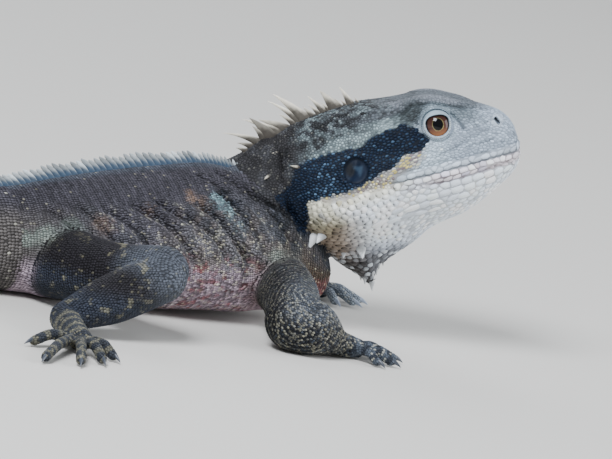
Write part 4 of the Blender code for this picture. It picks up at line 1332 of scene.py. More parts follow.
    def paint_band(self, here: Sites, colour: Array, polish: Array, rare: Array, speckled: bool) -> tuple:
        """The blue-black band, with painted highlights on single scales and a painted sheen low on its hind
        part, and the yellow-flecked tan strip below it.
        """
        local = to_head(here.points)
        wander = [here.noise(1.6, seed) - 0.5 for seed in (5, 6)]
        flat = local[:, [0, 2]] + 1.5 * np.stack(wander, axis=1)
        side = ramp(6.0, 10.0, np.abs(local[:, 1]))
        band = polygon_share(flat, BAND_OUTLINE, 0.4) * side
        strip = polygon_share(flat, STRIP_OUTLINE, 1.4) * side * (1 - band)
        paint = Paint(self.hue, "tan", len(here))
        paint.colour = mix(colour, mix(self.hue["tan"], self.hue["cheek"], 0.3), 0.7 * strip)
        dark = Paint(self.hue, "band", len(here))
        if speckled:
            paint.coat("cream", np.where(rare < 0.5, 0.5, 0.0) * strip)
            paint.coat("yellow", np.where(rare < 0.26, 0.75, 0.0) * strip)
            paint.coat("seam", np.where(rare > 0.8, 0.7, 0.0) * strip)
            # Painted highlights: single scales of the band are lightened as glints, more on its hind part,
            # and its lower hind part gets a painted sheen.
            lit = np.where(rare < 0.05, 0.6, np.where(rare < 0.24, 0.22, np.where(rare < 0.55, 0.07, 0.0)))
            hind = ramp(2, -6, flat[:, 0]) * ramp(-20, -14, flat[:, 0])
            low = ramp(-2, -7, flat[:, 1]) * hind
            lit = lit * (0.6 + 0.7 * hind) * ramp(-24, -16, flat[:, 0]) + 0.015 * hind + 0.1 * low
            dark.coat("band_light", lit)
        beside = local[:, [0, 2]] - np.array([EAR_DRUM[0], EAR_DRUM[2]])
        drum = np.linalg.norm(beside, axis=1)
        inside = ramp(EAR_DRUM_RADIUS + 0.2, EAR_DRUM_RADIUS - 0.6, drum)
        dark.colour = mix(dark.colour, self.membrane(beside, drum), inside)
        return mix(paint.colour, dark.colour, band), polish * (1 - band) + 0.4 * band

    def membrane(self, beside: Array, drum: Array) -> Array:
        """Colours of the ear drum: dark and glossy, with a painted sheen across its lower front, painted
        shade in a hollow on its hind part, darker towards its edge, and a painted highlight on its fold.

        Args:
            beside: Places from the drum's middle.
            drum: Their distance from it.

        Returns:
            Linear colours.
        """
        paint = Paint(self.hue, "drum", len(beside))
        # Painted sheen across the drum, painted shade in its hind hollow and a painted highlight on its fold.
        sheen = ramp(-3.5, 3.0, 0.5 * beside[:, 0] - beside[:, 1])
        paint.coat("drum_light", 0.5 + 0.5 * sheen)
        hollow = np.hypot((beside[:, 0] + 2.0) / 1.7, (beside[:, 1] - 0.5) / 2.4)
        paint.coat("drum", 0.9 * ramp(1.3, 0.7, hollow))
        paint.coat("band_light", 0.6 * polygon_share(beside, DRUM_FOLD, 0.5), 0.34)
        paint.coat("drum", ramp(EAR_DRUM_RADIUS - 1.4, EAR_DRUM_RADIUS, drum))
        return paint.colour

    def paint_trunk(self, here: Sites, rare: Array, speckled: bool) -> tuple:
        """Grey-brown back, greyer flank, pink and red belly, tan rump."""
        turn = np.degrees(here.turn)
        paint = Paint(self.hue, "back", len(here))
        paint.coat("flank", ramp(40, 70, turn))
        front = ramp(78, 46, here.place) * ramp(30, 60, turn)
        paint.coat("front_flank", front)
        patch = ramp(0.56, 0.8, here.noise(6.0, 61)) * ramp(30, 50, turn)
        paint.coat("front_flank", 0.6 * patch)
        shoulder = ramp(34, 24, here.place)
        paint.coat("shoulder", shoulder)
        rings = 0.5 + 0.5 * np.sin(here.place * 2 * math.pi / 4.2 + 5 * here.noise(7.0, 63))
        paint.shade(0.78 + 0.4 * rings)
        side = ramp(56, 84, turn) * ramp(96, 70, here.place)
        paint.coat("pale_flank", 0.8 * side * (1 - shoulder))
        paint.shade(1 - 0.16 * ramp(90, 120, here.place))
        rump = ramp(96, 140, here.place) * ramp(30, 70, turn)
        paint.coat("rump", rump)
        ridge = ramp(15, 7, turn)
        paint.coat("knee", 0.8 * ridge)
        low = ramp(94, 114, turn + 10 * (here.noise(2.2, 65) - 0.5))
        paint.coat("belly", low)
        scutes = 0.5 + 0.5 * np.sin(here.place * 2 * math.pi / 3.2 + 2 * here.noise(5.0, 66))
        paint.shade(1 - low * (0.35 - 0.35 * scutes))
        red = ramp(0.5, 0.8, here.noise(1.8, 11)) * ramp(86, 104, turn)
        paint.coat("red", 0.62 * red * ramp(104, 80, here.place))
        warm = ramp(0.45, 0.7, here.noise(3.4, 67)) * ramp(40, 66, turn)
        paint.coat("tan", 0.14 * warm * ramp(100, 60, here.place) * (1 - low))
        spots = ramp(0.74, 0.84, here.noise(1.9, 71)) * ramp(38, 60, turn)
        paint.coat("fleck", 0.32 * spots * ramp(112, 96, here.place))
        chest = ramp(20, 10, here.place) * ramp(60, 90, turn)
        paint.coat("tan", 0.75 * chest, 0.3)
        flush = ramp(0.35, 0.6, here.noise(3.0, 72))
        paint.coat("red", 0.6 * chest * flush * ramp(92, 110, turn), 0.7)
        # Some patches are painted shade along the furrow behind the shoulder.
        for place, angle, reach, name, share in TRUNK_PATCHES:
            away = np.hypot(here.place - place, 0.5 * (turn - angle))
            away = away + 3 * (here.noise(1.7, 64) - 0.5)
            ragged = 0.45 + 0.55 * ramp(0.2, 0.7, (rare * 7.3) % 1.0) if speckled else 1.0
            paint.coat(name, ragged * share * ramp(reach * 1.3, reach * 0.4, away))
        if speckled:
            front = ramp(44, 84, turn) * ramp(112, 82, here.place)
            pale = rare < 0.015 + 0.13 * front
            paint.coat("cream", pale * (0.16 + 0.16 * front))
            dark = rare > 0.88
            paint.shade(np.where(dark, 0.74 - 0.2 * front, 1.0))
            gap = (rare > 0.6) & (rare < 0.86)
            paint.shade(np.where(gap, 1 - 0.5 * low, 1.0))
        return paint.colour, 0.3

    def paint_tail(self, here: Sites, rare: Array, speckled: bool) -> tuple:
        """Dark tail with pale, broken bands that get stronger towards the tip."""
        along = here.place - self.anatomy.pelvis
        wobble = 6.0 * (here.noise(9.0, 21) - 0.5)
        phase = (along + wobble) / 33.0
        wave = 0.5 + 0.5 * np.cos(2 * math.pi * phase)
        bands = ramp(0.62, 0.82, wave)
        paint = Paint(self.hue, "rump", len(here))
        paint.coat("back", ramp(60, 30, np.degrees(here.turn)))
        paint.coat("tail_dark", ramp(10, 90, along))
        strong = ramp(0, 40, along) * (0.45 + 0.4 * ramp(30, 200, along))
        paint.coat("tail_light", bands * strong)
        turn = np.degrees(here.turn)
        paint.coat("rump", 0.6 * ramp(120, 160, turn))
        if speckled:
            paint.coat("fleck", 0.4 * (rare < 0.06))
        return paint.colour, 0.35

    def paint_arm(self, here: Sites, rare: Array, speckled: bool) -> tuple:
        """Olive-grey arm that turns blue-black with beige specks lower down, with a painted highlight along
        its middle, painted shade on its lower hind side and a painted shadow towards the floor.
        """
        height = here.points[:, 2]
        paint = Paint(self.hue, "arm", len(here))
        paint.coat("low_arm", ramp(17, 9, height))
        # Painted shadow: the arm darkens towards the floor under it.
        paint.coat("hollow", 0.7 * ramp(6, 2, height))
        # Painted highlight: a pale bluish band along the middle of the arm's height, towards the front.
        middle = ramp(8, 3, np.abs(height - 19)) * ramp(-38, -30, here.points[:, 0])
        paint.coat("hand", 0.35 * middle)
        offset = here.points[:, None, :] - np.array(ARM_WHORLS)
        away = np.linalg.norm(offset, axis=2).min(axis=1)
        wave = np.sin(away * 2 * math.pi / 2.1 + 4.5 * here.noise(5.0, 73))
        paint.shade(1 + 0.4 * wave)
        ragged = 0.4 + 0.6 * ramp(0.35, 0.6, here.noise(2.6, 74))
        paint.coat("cream", 0.2 * ragged * ramp(0.2, 0.9, wave))
        # Painted shade on the hind, lower side of the right arm, towards the elbow.
        hind = ramp(-30, -42, here.points[:, 0]) * ramp(30, 16, height)
        hind = hind * (here.points[:, 1] < 0)
        if speckled:
            paint.coat("fleck", 0.17 * (rare < 0.1))
            blue = (rare > 0.3) & (rare < 0.42)
            paint.coat("hand", 0.22 * blue)
            paint.shade(np.where(rare > 0.84, 0.6, 1.0))
            beige = (rare > 0.46) & (rare < 0.58) & (height < 20)
            paint.coat("cream", 0.2 * beige)
        paint.shade(1 - 0.55 * hind)
        return paint.colour, 0.3

    def paint_hand(self, here: Sites, rare: Array, speckled: bool) -> tuple:
        """Bluish hand with dark bars and pale knuckles."""
        paint = Paint(self.hue, "hand", len(here))
        bars = ramp(0.5, 0.75, 0.5 + 0.5 * np.sin(here.place * 2 * math.pi / 4.6))
        right = here.points[:, 1] < 0
        paint.coat("low_arm", np.where(right, 0.8, 0.3) * bars)
        palm = np.array(DIGITS["left_hand"].root)
        toes = ramp(3.0, 16.0, np.linalg.norm(here.points - palm, axis=1))
        paint.coat("low_arm", np.where(right, 0.5, 0.75 * (1 - toes)))
        paint.coat("plate", np.where(right, 0.0, 0.65 * toes))
        if speckled:
            paint.coat("fleck", 0.4 * (rare < 0.12))
        return paint.colour, 0.5

    def paint_leg(self, here: Sites, rare: Array, speckled: bool) -> tuple:
        """Brown-black thigh, grey knee, dark shank, with yellow-tan spots."""
        knee = np.array([-79.0, -95.0, 24.0])
        near = np.linalg.norm((here.points - knee) / np.array([17, 14, 11]), axis=1)
        paint = Paint(self.hue, "thigh", len(here))
        paint.coat("shank", ramp(20, 12, here.points[:, 2]))
        paint.coat("knee", ramp(1.25, 0.6, near))
        spots = ramp(0.7, 0.84, here.noise(2.3, 31))
        spots = spots * ramp(0.3, 0.55, here.noise(7.0, 32))
        paint.coat("spot", 0.4 * spots)
        if speckled:
            paint.coat("spot", 0.2 * (rare < 0.05))
        return paint.colour, 0.35

    def paint_foot(self, here: Sites, rare: Array, speckled: bool) -> tuple:
        """Grey foot with tan bars across the toes."""
        paint = Paint(self.hue, "foot", len(here))
        bars = ramp(0.55, 0.8, 0.5 + 0.5 * np.sin(here.place * 2 * math.pi / 5.5))
        paint.coat("spot", 0.35 * bars)
        if speckled:
            paint.coat("spot", 0.5 * (rare < 0.1))
        return paint.colour, 0.45


def read_points(mesh) -> Array:
    """A mesh's points as rows of three numbers."""
    flat = np.zeros(len(mesh.vertices) * 3)
    mesh.vertices.foreach_get("co", flat)
    return flat.reshape(-1, 3)


def write_points(mesh, points: Array) -> None:
    """Moves a mesh's points."""
    mesh.vertices.foreach_set("co", np.asarray(points, float).ravel())
    mesh.update()


def write_markings(mesh, colour: Array, polish: Array) -> None:
    """Stores colours, with the polish as alpha, on a mesh's points."""
    layer = mesh.attributes.new("markings", "FLOAT_COLOR", "POINT")
    values = np.concatenate([colour, polish[:, None]], axis=1)
    layer.data.foreach_set("color", values.astype(np.float32).ravel())


def write_unwrap(mesh, flat: Array) -> None:
    """Stores the place of each point on the flat unwrap named OFBake."""
    layer = mesh.uv_layers.new(name="OFBake")
    corners = np.zeros(len(mesh.loops), np.int64)
    mesh.loops.foreach_get("vertex_index", corners)
    layer.data.foreach_set("uv", flat[corners].astype(np.float32).ravel())


def ring_faces(rings: int, sides: int, endless: bool = False) -> list[tuple]:
    """Triangles between rings of points.

    Args:
        rings: How many rings.
        sides: Points of a ring.
        endless: Whether the last ring joins the first; if not, both ends are closed flat.

    Returns:
        Tuples of three point numbers.
    """
    faces = []
    for row in range(rings if endless else rings - 1):
        low = row * sides
        high = (row + 1) % rings * sides
        for corner in range(sides):
            after = (corner + 1) % sides
            faces.append((low + corner, low + after, high + after))
            faces.append((low + corner, high + after, high + corner))
    if not endless:
        last = (rings - 1) * sides
        for corner in range(1, sides - 1):
            faces.append((0, corner + 1, corner))
            faces.append((last, last + corner, last + corner + 1))
    return faces


def merged(parts: list[tuple]) -> tuple[Array, list[tuple]]:
    """Puts several lots of points, each with its faces, into one lot."""
    points, faces, base = [], [], 0
    for some, made in parts:
        points.append(some)
        faces += [tuple(base + corner for corner in face) for face in made]
        base += len(some)
    return np.vstack(points), faces


def fast_mesh(name: str, points: Array, faces: Array):
    """A mesh from many triangles at once.

    Args:
        name: The mesh's name.
        points: Places in metres.
        faces: Rows of three point numbers.

    Returns:
        The mesh.
    """
    mesh = bpy.data.meshes.new(name)
    mesh.vertices.add(len(points))
    mesh.vertices.foreach_set("co", np.asarray(points, np.float32).ravel())
    mesh.loops.add(faces.size)
    mesh.loops.foreach_set("vertex_index", np.asarray(faces, np.int32).ravel())
    mesh.polygons.add(len(faces))
    mesh.polygons.foreach_set("loop_start", np.arange(len(faces), dtype=np.int32) * 3)
    mesh.update(calc_edges=True)
    mesh.validate()
    return mesh


def put(name: str, mesh, material, frame: Matrix | None = None):
    """Links a mesh as a piece that rides on the body.

    Args:
        name: The piece's name.
        mesh: Its mesh, in metres.
        material: Its finish.
        frame: Where the mesh's own frame stands, if it isn't the packed frame.

    Returns:
        The piece.
    """
    mesh.shade_smooth()
    mesh.materials.clear()
    mesh.materials.append(material)
    piece = bpy.data.objects.new(name, mesh)
    bpy.context.scene.collection.objects.link(piece)
    if frame:
        piece.matrix_world = frame
    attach(piece, "root")
    LOG.info("%s: %d faces", name, len(mesh.polygons))
    return piece


def standing(axes: list[Array], place: Array) -> Matrix:
    """A frame with the given axes at a place in metres."""
    frame = Matrix(np.stack(axes, axis=1).tolist()).to_4x4()
    frame.translation = Vector(place.tolist())
    return frame


class EyeSite:
    """Where one eye sits: its centre and the directions forward, up and out."""

    def __init__(self, side: int) -> None:
        """Works out the eye's frame; side is 1 on the left and -1 on the right."""
        mirror = np.array([1, side, 1])
        self.side = side
        self.centre = from_head(np.array(EYE_CENTRE) * mirror)
        self.out = unit(np.array(EYE_AXIS) * mirror @ HEAD_AXES)
        self.forward = unit(HEAD_AXES[0] - self.out * (HEAD_AXES[0] @ self.out))
        self.up = np.cross(self.out, self.forward) * (1 if side < 0 else -1)
        if self.up[2] < 0:
            self.up = -self.up

    def local(self, points: Array) -> Array:
        """Points as forward, up and out distances from the eye's centre."""
        offset = np.asarray(points, float) - self.centre
        return np.stack([offset @ self.forward, offset @ self.up, offset @ self.out], axis=-1)

    def world(self, local: Array) -> Array:
        """Forward, up and out distances as points."""
        forward, up, out = np.split(np.asarray(local, float), 3, axis=-1)
        return self.centre + forward * self.forward + up * self.up + out * self.out


@dataclass
class LidShape:
    """The opening between the lids and how thick their edges are."""

    half_length: float = 4.35
    upper: float = 3.3
    lower: float = 4.3
    outer: float = 6.1
    edge: float = 0.3
    bulge: float = 0.4
    crease: float = 0.9
    rims: dict = field(default_factory=dict)

    def opening(self, turns: Array) -> Array:
        """Radius of the opening at each turn; 0 is forward and a quarter turn up."""
        cosine = np.cos(turns)
        sine = np.sin(turns)
        height = np.where(sine >= 0, self.upper, self.lower)
        power = np.where(sine >= 0, 2.6, 2.05)
        spread = (np.abs(cosine) / self.half_length) ** power + (np.abs(sine) / height) ** power
        return spread ** (-1 / power)


# Extra swellings where limbs join the body: a centre and three radii each
MUSCLES = [
    ((-45, -14, 21), (14, 11, 11)),
    ((-47, 4, 23), (14, 11, 11)),
    ((-125, -58, 15), (15, 12, 12)),
    ((-136, -54, 15), (15, 12, 12)),
]
# Places that are rounded where forms join: the limbs' roots, their bends, then the neck, each with its reach
JOINS = [
    ((-44, -20, 19), 15), ((-46, 12, 21), 14), ((-121, -64, 16), 17), ((-142, -44, 16), 17),
    ((-30, -61, 11), 9), ((-53, 39, 12), 8), ((-79, -95, 24), 7), ((-162, -1, 19), 7),
    ((-13.5, -54, 5), 6), ((-32, 50, 5), 6), ((-109, -117, 5.5), 6), ((-195, -16, 5.5), 6),
    ((-50, -6, 44), 15), ((-58, -14, 47), 12), ((-54, -30, 36), 11), ((-48, 12, 38), 12),
]
# Slit, lips and the furrows beyond them: how far out, height over the mouth line and width
LIP_RELIEF = [(-0.42, 0.0, 0.3), (0.3, 1.5, 0.9), (0.32, -1.6, 0.9), (-0.28, 3.1, 0.4), (-0.3, -3.3, 0.4)]
# Raised bone behind the ear drum, and the creases before and under the eye, in (s, t)
DRUM_BONE = np.array([[1.6, 2.4], [-0.4, -1.6], [-2.6, -3.6]])
FORE_CREASE = np.array([[38.4, 12.6], [40.4, 9.6], [41.6, 6.4]])
UNDER_CREASE = np.array([[27.0, 1.2], [32.0, -0.4], [38.0, 0.4], [43.0, 2.6]])


@dataclass
class SkinBuilder:
    """Grows one skin over every form, then presses folds, lids, lips, nostrils and ears into it."""

    anatomy: Anatomy
    ground: Ground
    lids: LidShape
    voxel_mm: float = 0.66
    body_step_mm: float = 1.1
    body_sides: int = 112
    limb_sides: int = 36
    smoothing_turns: int = 8
    rounding_turns: int = 26

    def build(self):
        """Makes the skin's mesh, without its markings, in the packed frame's metres."""
        mesh = self.union()
        self.relax(mesh)
        self.refine(mesh)
        self.shape(mesh)
        return mesh

    def union(self):
        """All forms as one closed surface."""
        parts = []
        for tube in self.anatomy.tubes():
            if isinstance(tube, BodyTube):
                rows, sides = int(tube.end / self.body_step_mm), self.body_sides
            else:
                rows, sides = max(14, int(tube.end - tube.start)), self.limb_sides
            parts.append(tube.grid(rows, sides, -SKIN_DEPTH))
        points, faces = merged(parts + [self.ball(centre, radii) for centre, radii in MUSCLES])
        mesh = bpy.data.meshes.new("skin_source")
        mesh.from_pydata(self.ground.metres(points).tolist(), [], faces)
        source = bpy.data.objects.new("skin_source", mesh)
        bpy.context.scene.collection.objects.link(source)
        step = source.modifiers.new("remesh", "REMESH")
        step.mode = "VOXEL"
        step.voxel_size = self.voxel_mm * MM
        graph = bpy.context.evaluated_depsgraph_get()
        graph.update()
        made = bpy.data.meshes.new_from_object(source.evaluated_get(graph))
        bpy.data.objects.remove(source)
        bpy.data.meshes.remove(mesh)
        LOG.info("skin: %d faces after the remesh", len(made.polygons))
        return made

    @staticmethod
    def ball(centre: tuple, radii: tuple) -> tuple[Array, list[tuple]]:
        """A closed ellipsoid as points and faces."""
        form = bmesh.new()
        bmesh.ops.create_uvsphere(form, u_segments=24, v_segments=14, radius=1.0)
        points = np.array([vertex.co for vertex in form.verts]) * np.array(radii) + np.array(centre)
        faces = [tuple(vertex.index for vertex in face.verts) for face in form.faces]
        form.free()
        return pressed(points), faces

    def relax(self, mesh) -> None:
        """Takes the steps off the remeshed surface, and rounds the joins of the forms."""
        points = self.ground.millimetres(read_points(mesh))
        flat = np.zeros(len(mesh.edges) * 2, np.int64)
        mesh.edges.foreach_get("vertices", flat)
        start, end = flat[0::2], flat[1::2]
        count = np.maximum(np.bincount(flat, minlength=len(points)), 1)
        join = self.join_weight(points)
        floor = points[:, 2] < 0.05
        for turn in range(self.smoothing_turns + self.rounding_turns):
            sums = [
                np.bincount(start, points[end, axis], len(points))
                + np.bincount(end, points[start, axis], len(points))
                for axis in range(3)
            ]
            mean = np.stack(sums, axis=1) / count[:, None]
            if turn < self.smoothing_turns:
                weight = np.full(len(points), 0.5 if turn % 2 == 0 else -0.52)
            else:
                weight = 0.55 * join
            points = pressed(points + (mean - points) * weight[:, None])
            points[floor, 2] = 0.0
        write_points(mesh, self.ground.metres(points))

    def join_weight(self, points: Array) -> Array:
        """How strongly each point is rounded: most where limbs and neck join the trunk."""
        weight = np.zeros(len(points))
        for centre, reach in JOINS:
            distance = np.linalg.norm(points - np.array(centre), axis=1)
            weight = np.maximum(weight, ramp(reach * 1.25, reach * 0.6, distance))
        local = to_head(points)
        pouch = ramp(-14, -10, local[:, 0]) * ramp(-20, -26, local[:, 2])
        return weight * (1 - pouch)

    def refine(self, mesh) -> None:
        """Splits the faces round the eyes, the mouth and the nostrils, where the details are finest."""
        form = bmesh.new()
        form.from_mesh(mesh)
        for reach in (11.0, 9.0):
            points = self.ground.millimetres(np.array([vertex.co for vertex in form.verts]))
            local = to_head(points)
            near = np.zeros(len(points), bool)
            for side in (1, -1):
                near |= np.linalg.norm(points - EyeSite(side).centre, axis=1) < reach
                nostril = from_head(np.array(NOSTRIL) * np.array([1, side, 1]))
                near |= np.linalg.norm(points - nostril, axis=1) < reach * 0.4
            if reach > 10:
                mouth = np.abs(local[:, 2] - mouth_line(local[:, 0])) < 3.4
                near |= mouth & (local[:, 0] > MOUTH_CORNER - 3)
            form.verts.ensure_lookup_table()
            chosen = [edge for edge in form.edges if near[edge.verts[0].index] and near[edge.verts[1].index]]
            bmesh.ops.subdivide_edges(form, edges=chosen, cuts=1, use_grid_fill=True)
            form.verts.index_update()
        bmesh.ops.triangulate(form, faces=[face for face in form.faces if len(face.verts) > 4])
        form.to_mesh(mesh)
        form.free()
        mesh.update()
        LOG.info("skin: %d faces after refining the head", len(mesh.polygons))

    def shape(self, mesh) -> None:
        """Presses the folds and the features of the head into the skin."""
        points = self.ground.millimetres(read_points(mesh))
        flat = np.zeros(points.size)
        mesh.vertex_normals.foreach_get("vector", flat)
        normals = flat.reshape(-1, 3)
        points = points + normals * self.head_relief(points)[:, None]
        points = points + normals * self.fold_relief(points)[:, None]
        write_points(mesh, self.ground.metres(pressed(points)))
        self.sockets(mesh)

    def head_relief(self, points: Array) -> Array:
        """How far each point of the head is moved out: lips, mouth, nostrils, ears, brow line."""
        local = to_head(points)
        s, y, t = local[:, 0], np.abs(local[:, 1]), local[:, 2]
        relief = np.zeros(len(points))
        front = ramp(MOUTH_CORNER - 2, MOUTH_CORNER + 1.5, s)
        off = t - mouth_line(s)
        for push, height, width in LIP_RELIEF:
            relief += push * front * bell(off - height, width)
        corner = np.hypot(s - MOUTH_CORNER + 1, t - mouth_line(MOUTH_CORNER))
        relief -= 0.5 * bell(corner, 1.8) * (y > 10)
        nostril = np.hypot(s - NOSTRIL[0], t - NOSTRIL[2])
        beside = (y > 2.5) & (s > 46) & (t > 1)
        relief += np.where(beside, 0.4 * ramp(2.4, 1.6, nostril), 0.0)
        relief -= np.where(beside, 0.12 * bell(nostril - 2.1, 0.35), 0.0)
        relief -= np.where(beside, 2.0 * ramp(0.62, 0.28, slit_distance(local)), 0.0)
        drum = np.hypot(s - EAR_DRUM[0], t - EAR_DRUM[2])
        side = y > 12
        relief += np.where(side, 0.35 * bell(drum - EAR_DRUM_RADIUS - 0.8, 0.9), 0.0)
        relief -= np.where(side, 1.15 * ramp(EAR_DRUM_RADIUS + 0.3, EAR_DRUM_RADIUS - 1.0, drum), 0.0)
        bone, _ = path_distance(local[:, [0, 2]], DRUM_BONE)
        relief += np.where(side, 0.6 * bell(bone, 0.9), 0.0)
        over = t - smooth_values(*BROW_LEVEL, s)[:, 0]
        ridge = ramp(14, 20, s) * ramp(56, 48, s) * ramp(4, 7, y)
        relief -= 0.6 * ridge * bell(over, 0.5)
        relief += 0.45 * ridge * bell(over - 1.5, 1.0)
        seam = t - smooth_values(*JAW_SEAM, s)[:, 0]
        chin = ramp(24, 29, s) * ramp(58, 55, s)
        relief -= 0.45 * chin * bell(seam, 0.4)
        fore, _ = path_distance(local[:, [0, 2]], FORE_CREASE)
        relief -= np.where(y > 7, 0.7 * bell(fore, 0.55), 0.0)
        under, _ = path_distance(local[:, [0, 2]], UNDER_CREASE)
        relief -= np.where(y > 7, 0.3 * bell(under, 0.5), 0.0)
        return relief

    def fold_relief(self, points: Array) -> Array:
        """How far the loose skin of the shoulder and flank is folded in and out."""
        relief = np.zeros(len(points))
        chosen = np.flatnonzero(loose_skin(points))
        some = points[chosen]
        total = np.zeros(len(some))
        for fold in fold_lines(self.anatomy):
            distance, share = path_distance(some, fold.line)
            fade = fold.fade(share)
            total -= fade * fold.depth * 0.8 * bell(distance, fold.width)
            beside = (distance - 2.2 * fold.width) / (1.2 * fold.width)
            total += fade * fold.depth * 0.34 * np.exp(-(beside**2))
        relief[chosen] = np.clip(total, -2.6, 1.4)
        return relief

    def rim_heights(self, mesh, eye: EyeSite) -> Array:
        """How far out the skin lies round the lids, at even turns, before it is sunk."""
        form = bmesh.new()
        form.from_mesh(mesh)
        tree = BVHTree.FromBMesh(form)
        form.free()
        turns = even_turns(RIM_TURNS)
        reach = self.lids.outer + 0.2
        far = np.stack([reach * np.cos(turns), reach * np.sin(turns), np.full(RIM_TURNS, 20.0)], axis=1)
        inward = Vector((-eye.out).tolist())
        heights = []
        for start in self.ground.metres(eye.world(far)).tolist():
            place, _, _, _ = tree.ray_cast(start, inward)
            found = eye.local(self.ground.millimetres(np.array(place)))
            heights.append(found[2])
        heights = np.array(heights)
        return (np.roll(heights, 1) + heights + np.roll(heights, -1)) / 3

    def sockets(self, mesh) -> None:
        """Sinks the skin round each eye, where the lids take over."""
        for side in (1, -1):
            self.lids.rims[side] = self.rim_heights(mesh, EyeSite(side))
        points = self.ground.millimetres(read_points(mesh))
        for side in (1, -1):
            eye = EyeSite(side)
            local = eye.local(points)
            reach = np.hypot(local[:, 0], local[:, 1])
            chosen = (reach < self.lids.outer + 0.6) & (local[:, 2] > -2)
            share = ramp(self.lids.outer - 0.1, self.lids.outer - 1.2, reach[chosen])
            height = local[chosen, 2]
            local[chosen, 2] = np.minimum(height, height * (1 - share) + 0.5 * share)
            points[chosen] = eye.world(local[chosen])
        write_points(mesh, self.ground.metres(points))


class Profile(NamedTuple):
    """The shape of one scale: points (along, across, out), faces and a brightness for each point that paints
    light and shade on it.
    """

    points: Array
    faces: Array
    shades: Array


CELL_SIDES = 8  # corners of a scale that fits between its neighbours


def cell_profile(
    rim: float,
    rim_height: float,
    top: float,
    rim_shade: float,
    foot_shade: float = 0.4,
    hind_shade: float = 1.0,
) -> Profile:
    """A scale whose outline is fitted later to the room that its neighbours leave.

    Args:
        rim: How far in the shoulder stands, as a share of the outline.
        rim_height: Height of the shoulder.
        top: Height of the middle.
        rim_shade: Brightness of the shoulder.
        foot_shade: Brightness at the root.
        hind_shade: Brightness of the hind corner, where some scales have a dark pore.

    Returns:
        The profile; its first two columns are directions of length one, or less at the shoulder.
    """
    turns = even_turns(CELL_SIDES)
    ring = np.stack([np.cos(turns), np.sin(turns)], axis=1)
    low = np.column_stack([ring, np.full(CELL_SIDES, -0.35)])
    high = np.column_stack([ring * rim, np.full(CELL_SIDES, rim_height)])
    points = np.vstack([low, high, [[0.0, 0.0, top]]])
    faces = []
    for corner in range(CELL_SIDES):
        after = (corner + 1) % CELL_SIDES
        faces.append((corner, after, CELL_SIDES + after))
        faces.append((corner, CELL_SIDES + after, CELL_SIDES + corner))
        faces.append((CELL_SIDES + corner, CELL_SIDES + after, 2 * CELL_SIDES))
    faces += [(0, corner + 1, corner) for corner in range(1, CELL_SIDES - 1)]
    # Painted light and shade: each scale is darker at its root, where shade falls between scales, and
    # brighter on top; the hind corner's darkening is a real pore.
    shades = np.array([foot_shade] * CELL_SIDES + [rim_shade] * CELL_SIDES + [1.08])
    shades[[0, CELL_SIDES]] *= hind_shade
    shades[[1, CELL_SIDES - 1]] *= 0.2 + 0.8 * hind_shade
    shades[[CELL_SIDES + 1, 2 * CELL_SIDES - 1]] *= 0.7 + 0.3 * hind_shade
    return Profile(points, np.array(faces), shades)


def keeled() -> Profile:
    """An overlapping scale with a keel and a raised hind tip."""
    points = [
        (-0.55, 0.0, -0.25), (-0.22, 0.5, -0.14), (0.27, 0.54, 0.12), (0.66, 0.0, 0.48), (0.27, -0.54, 0.12),
        (-0.22, -0.5, -0.14), (-0.28, 0.0, 0.3), (0.42, 0.0, 0.7), (0.0, 0.0, -0.55),
    ]
    faces = [
        (0, 6, 1), (1, 6, 2), (2, 6, 7), (2, 7, 3), (3, 7, 4), (4, 7, 6), (4, 6, 5), (5, 6, 0),
        (1, 8, 0), (2, 8, 1), (3, 8, 2), (4, 8, 3), (5, 8, 4), (0, 8, 5),
    ]
    # Painted light and shade: darkest at the buried front root, brightest along the raised keel and hind tip.
    shades = np.array([0.36, 0.46, 1.06, 1.2, 1.06, 0.46, 0.8, 1.34, 0.36])
    return Profile(np.array(points), np.array([face[::-1] for face in faces]), shades)


class ScaleForm(Enum):
    """The forms a scale can have."""

    GRANULE = 0
    KEELED = 1
    PLATE = 2
    FLAT = 3
    DOTTED = 4


PROFILES = {
    ScaleForm.GRANULE: cell_profile(0.66, 0.45, 0.85, 0.9),
    ScaleForm.KEELED: keeled(),
    ScaleForm.PLATE: cell_profile(0.84, 0.4, 0.5, 0.98, 0.6),
    ScaleForm.FLAT: cell_profile(0.78, 0.32, 0.46, 0.96, 0.7),
    ScaleForm.DOTTED: cell_profile(0.76, 0.34, 0.5, 1.02, 0.86, 0.12),
}


READINGS = 144  # how many places round a form its scales are measured out over
UNEVENNESS = 0.09  # how far scales stray from their rows, in scales


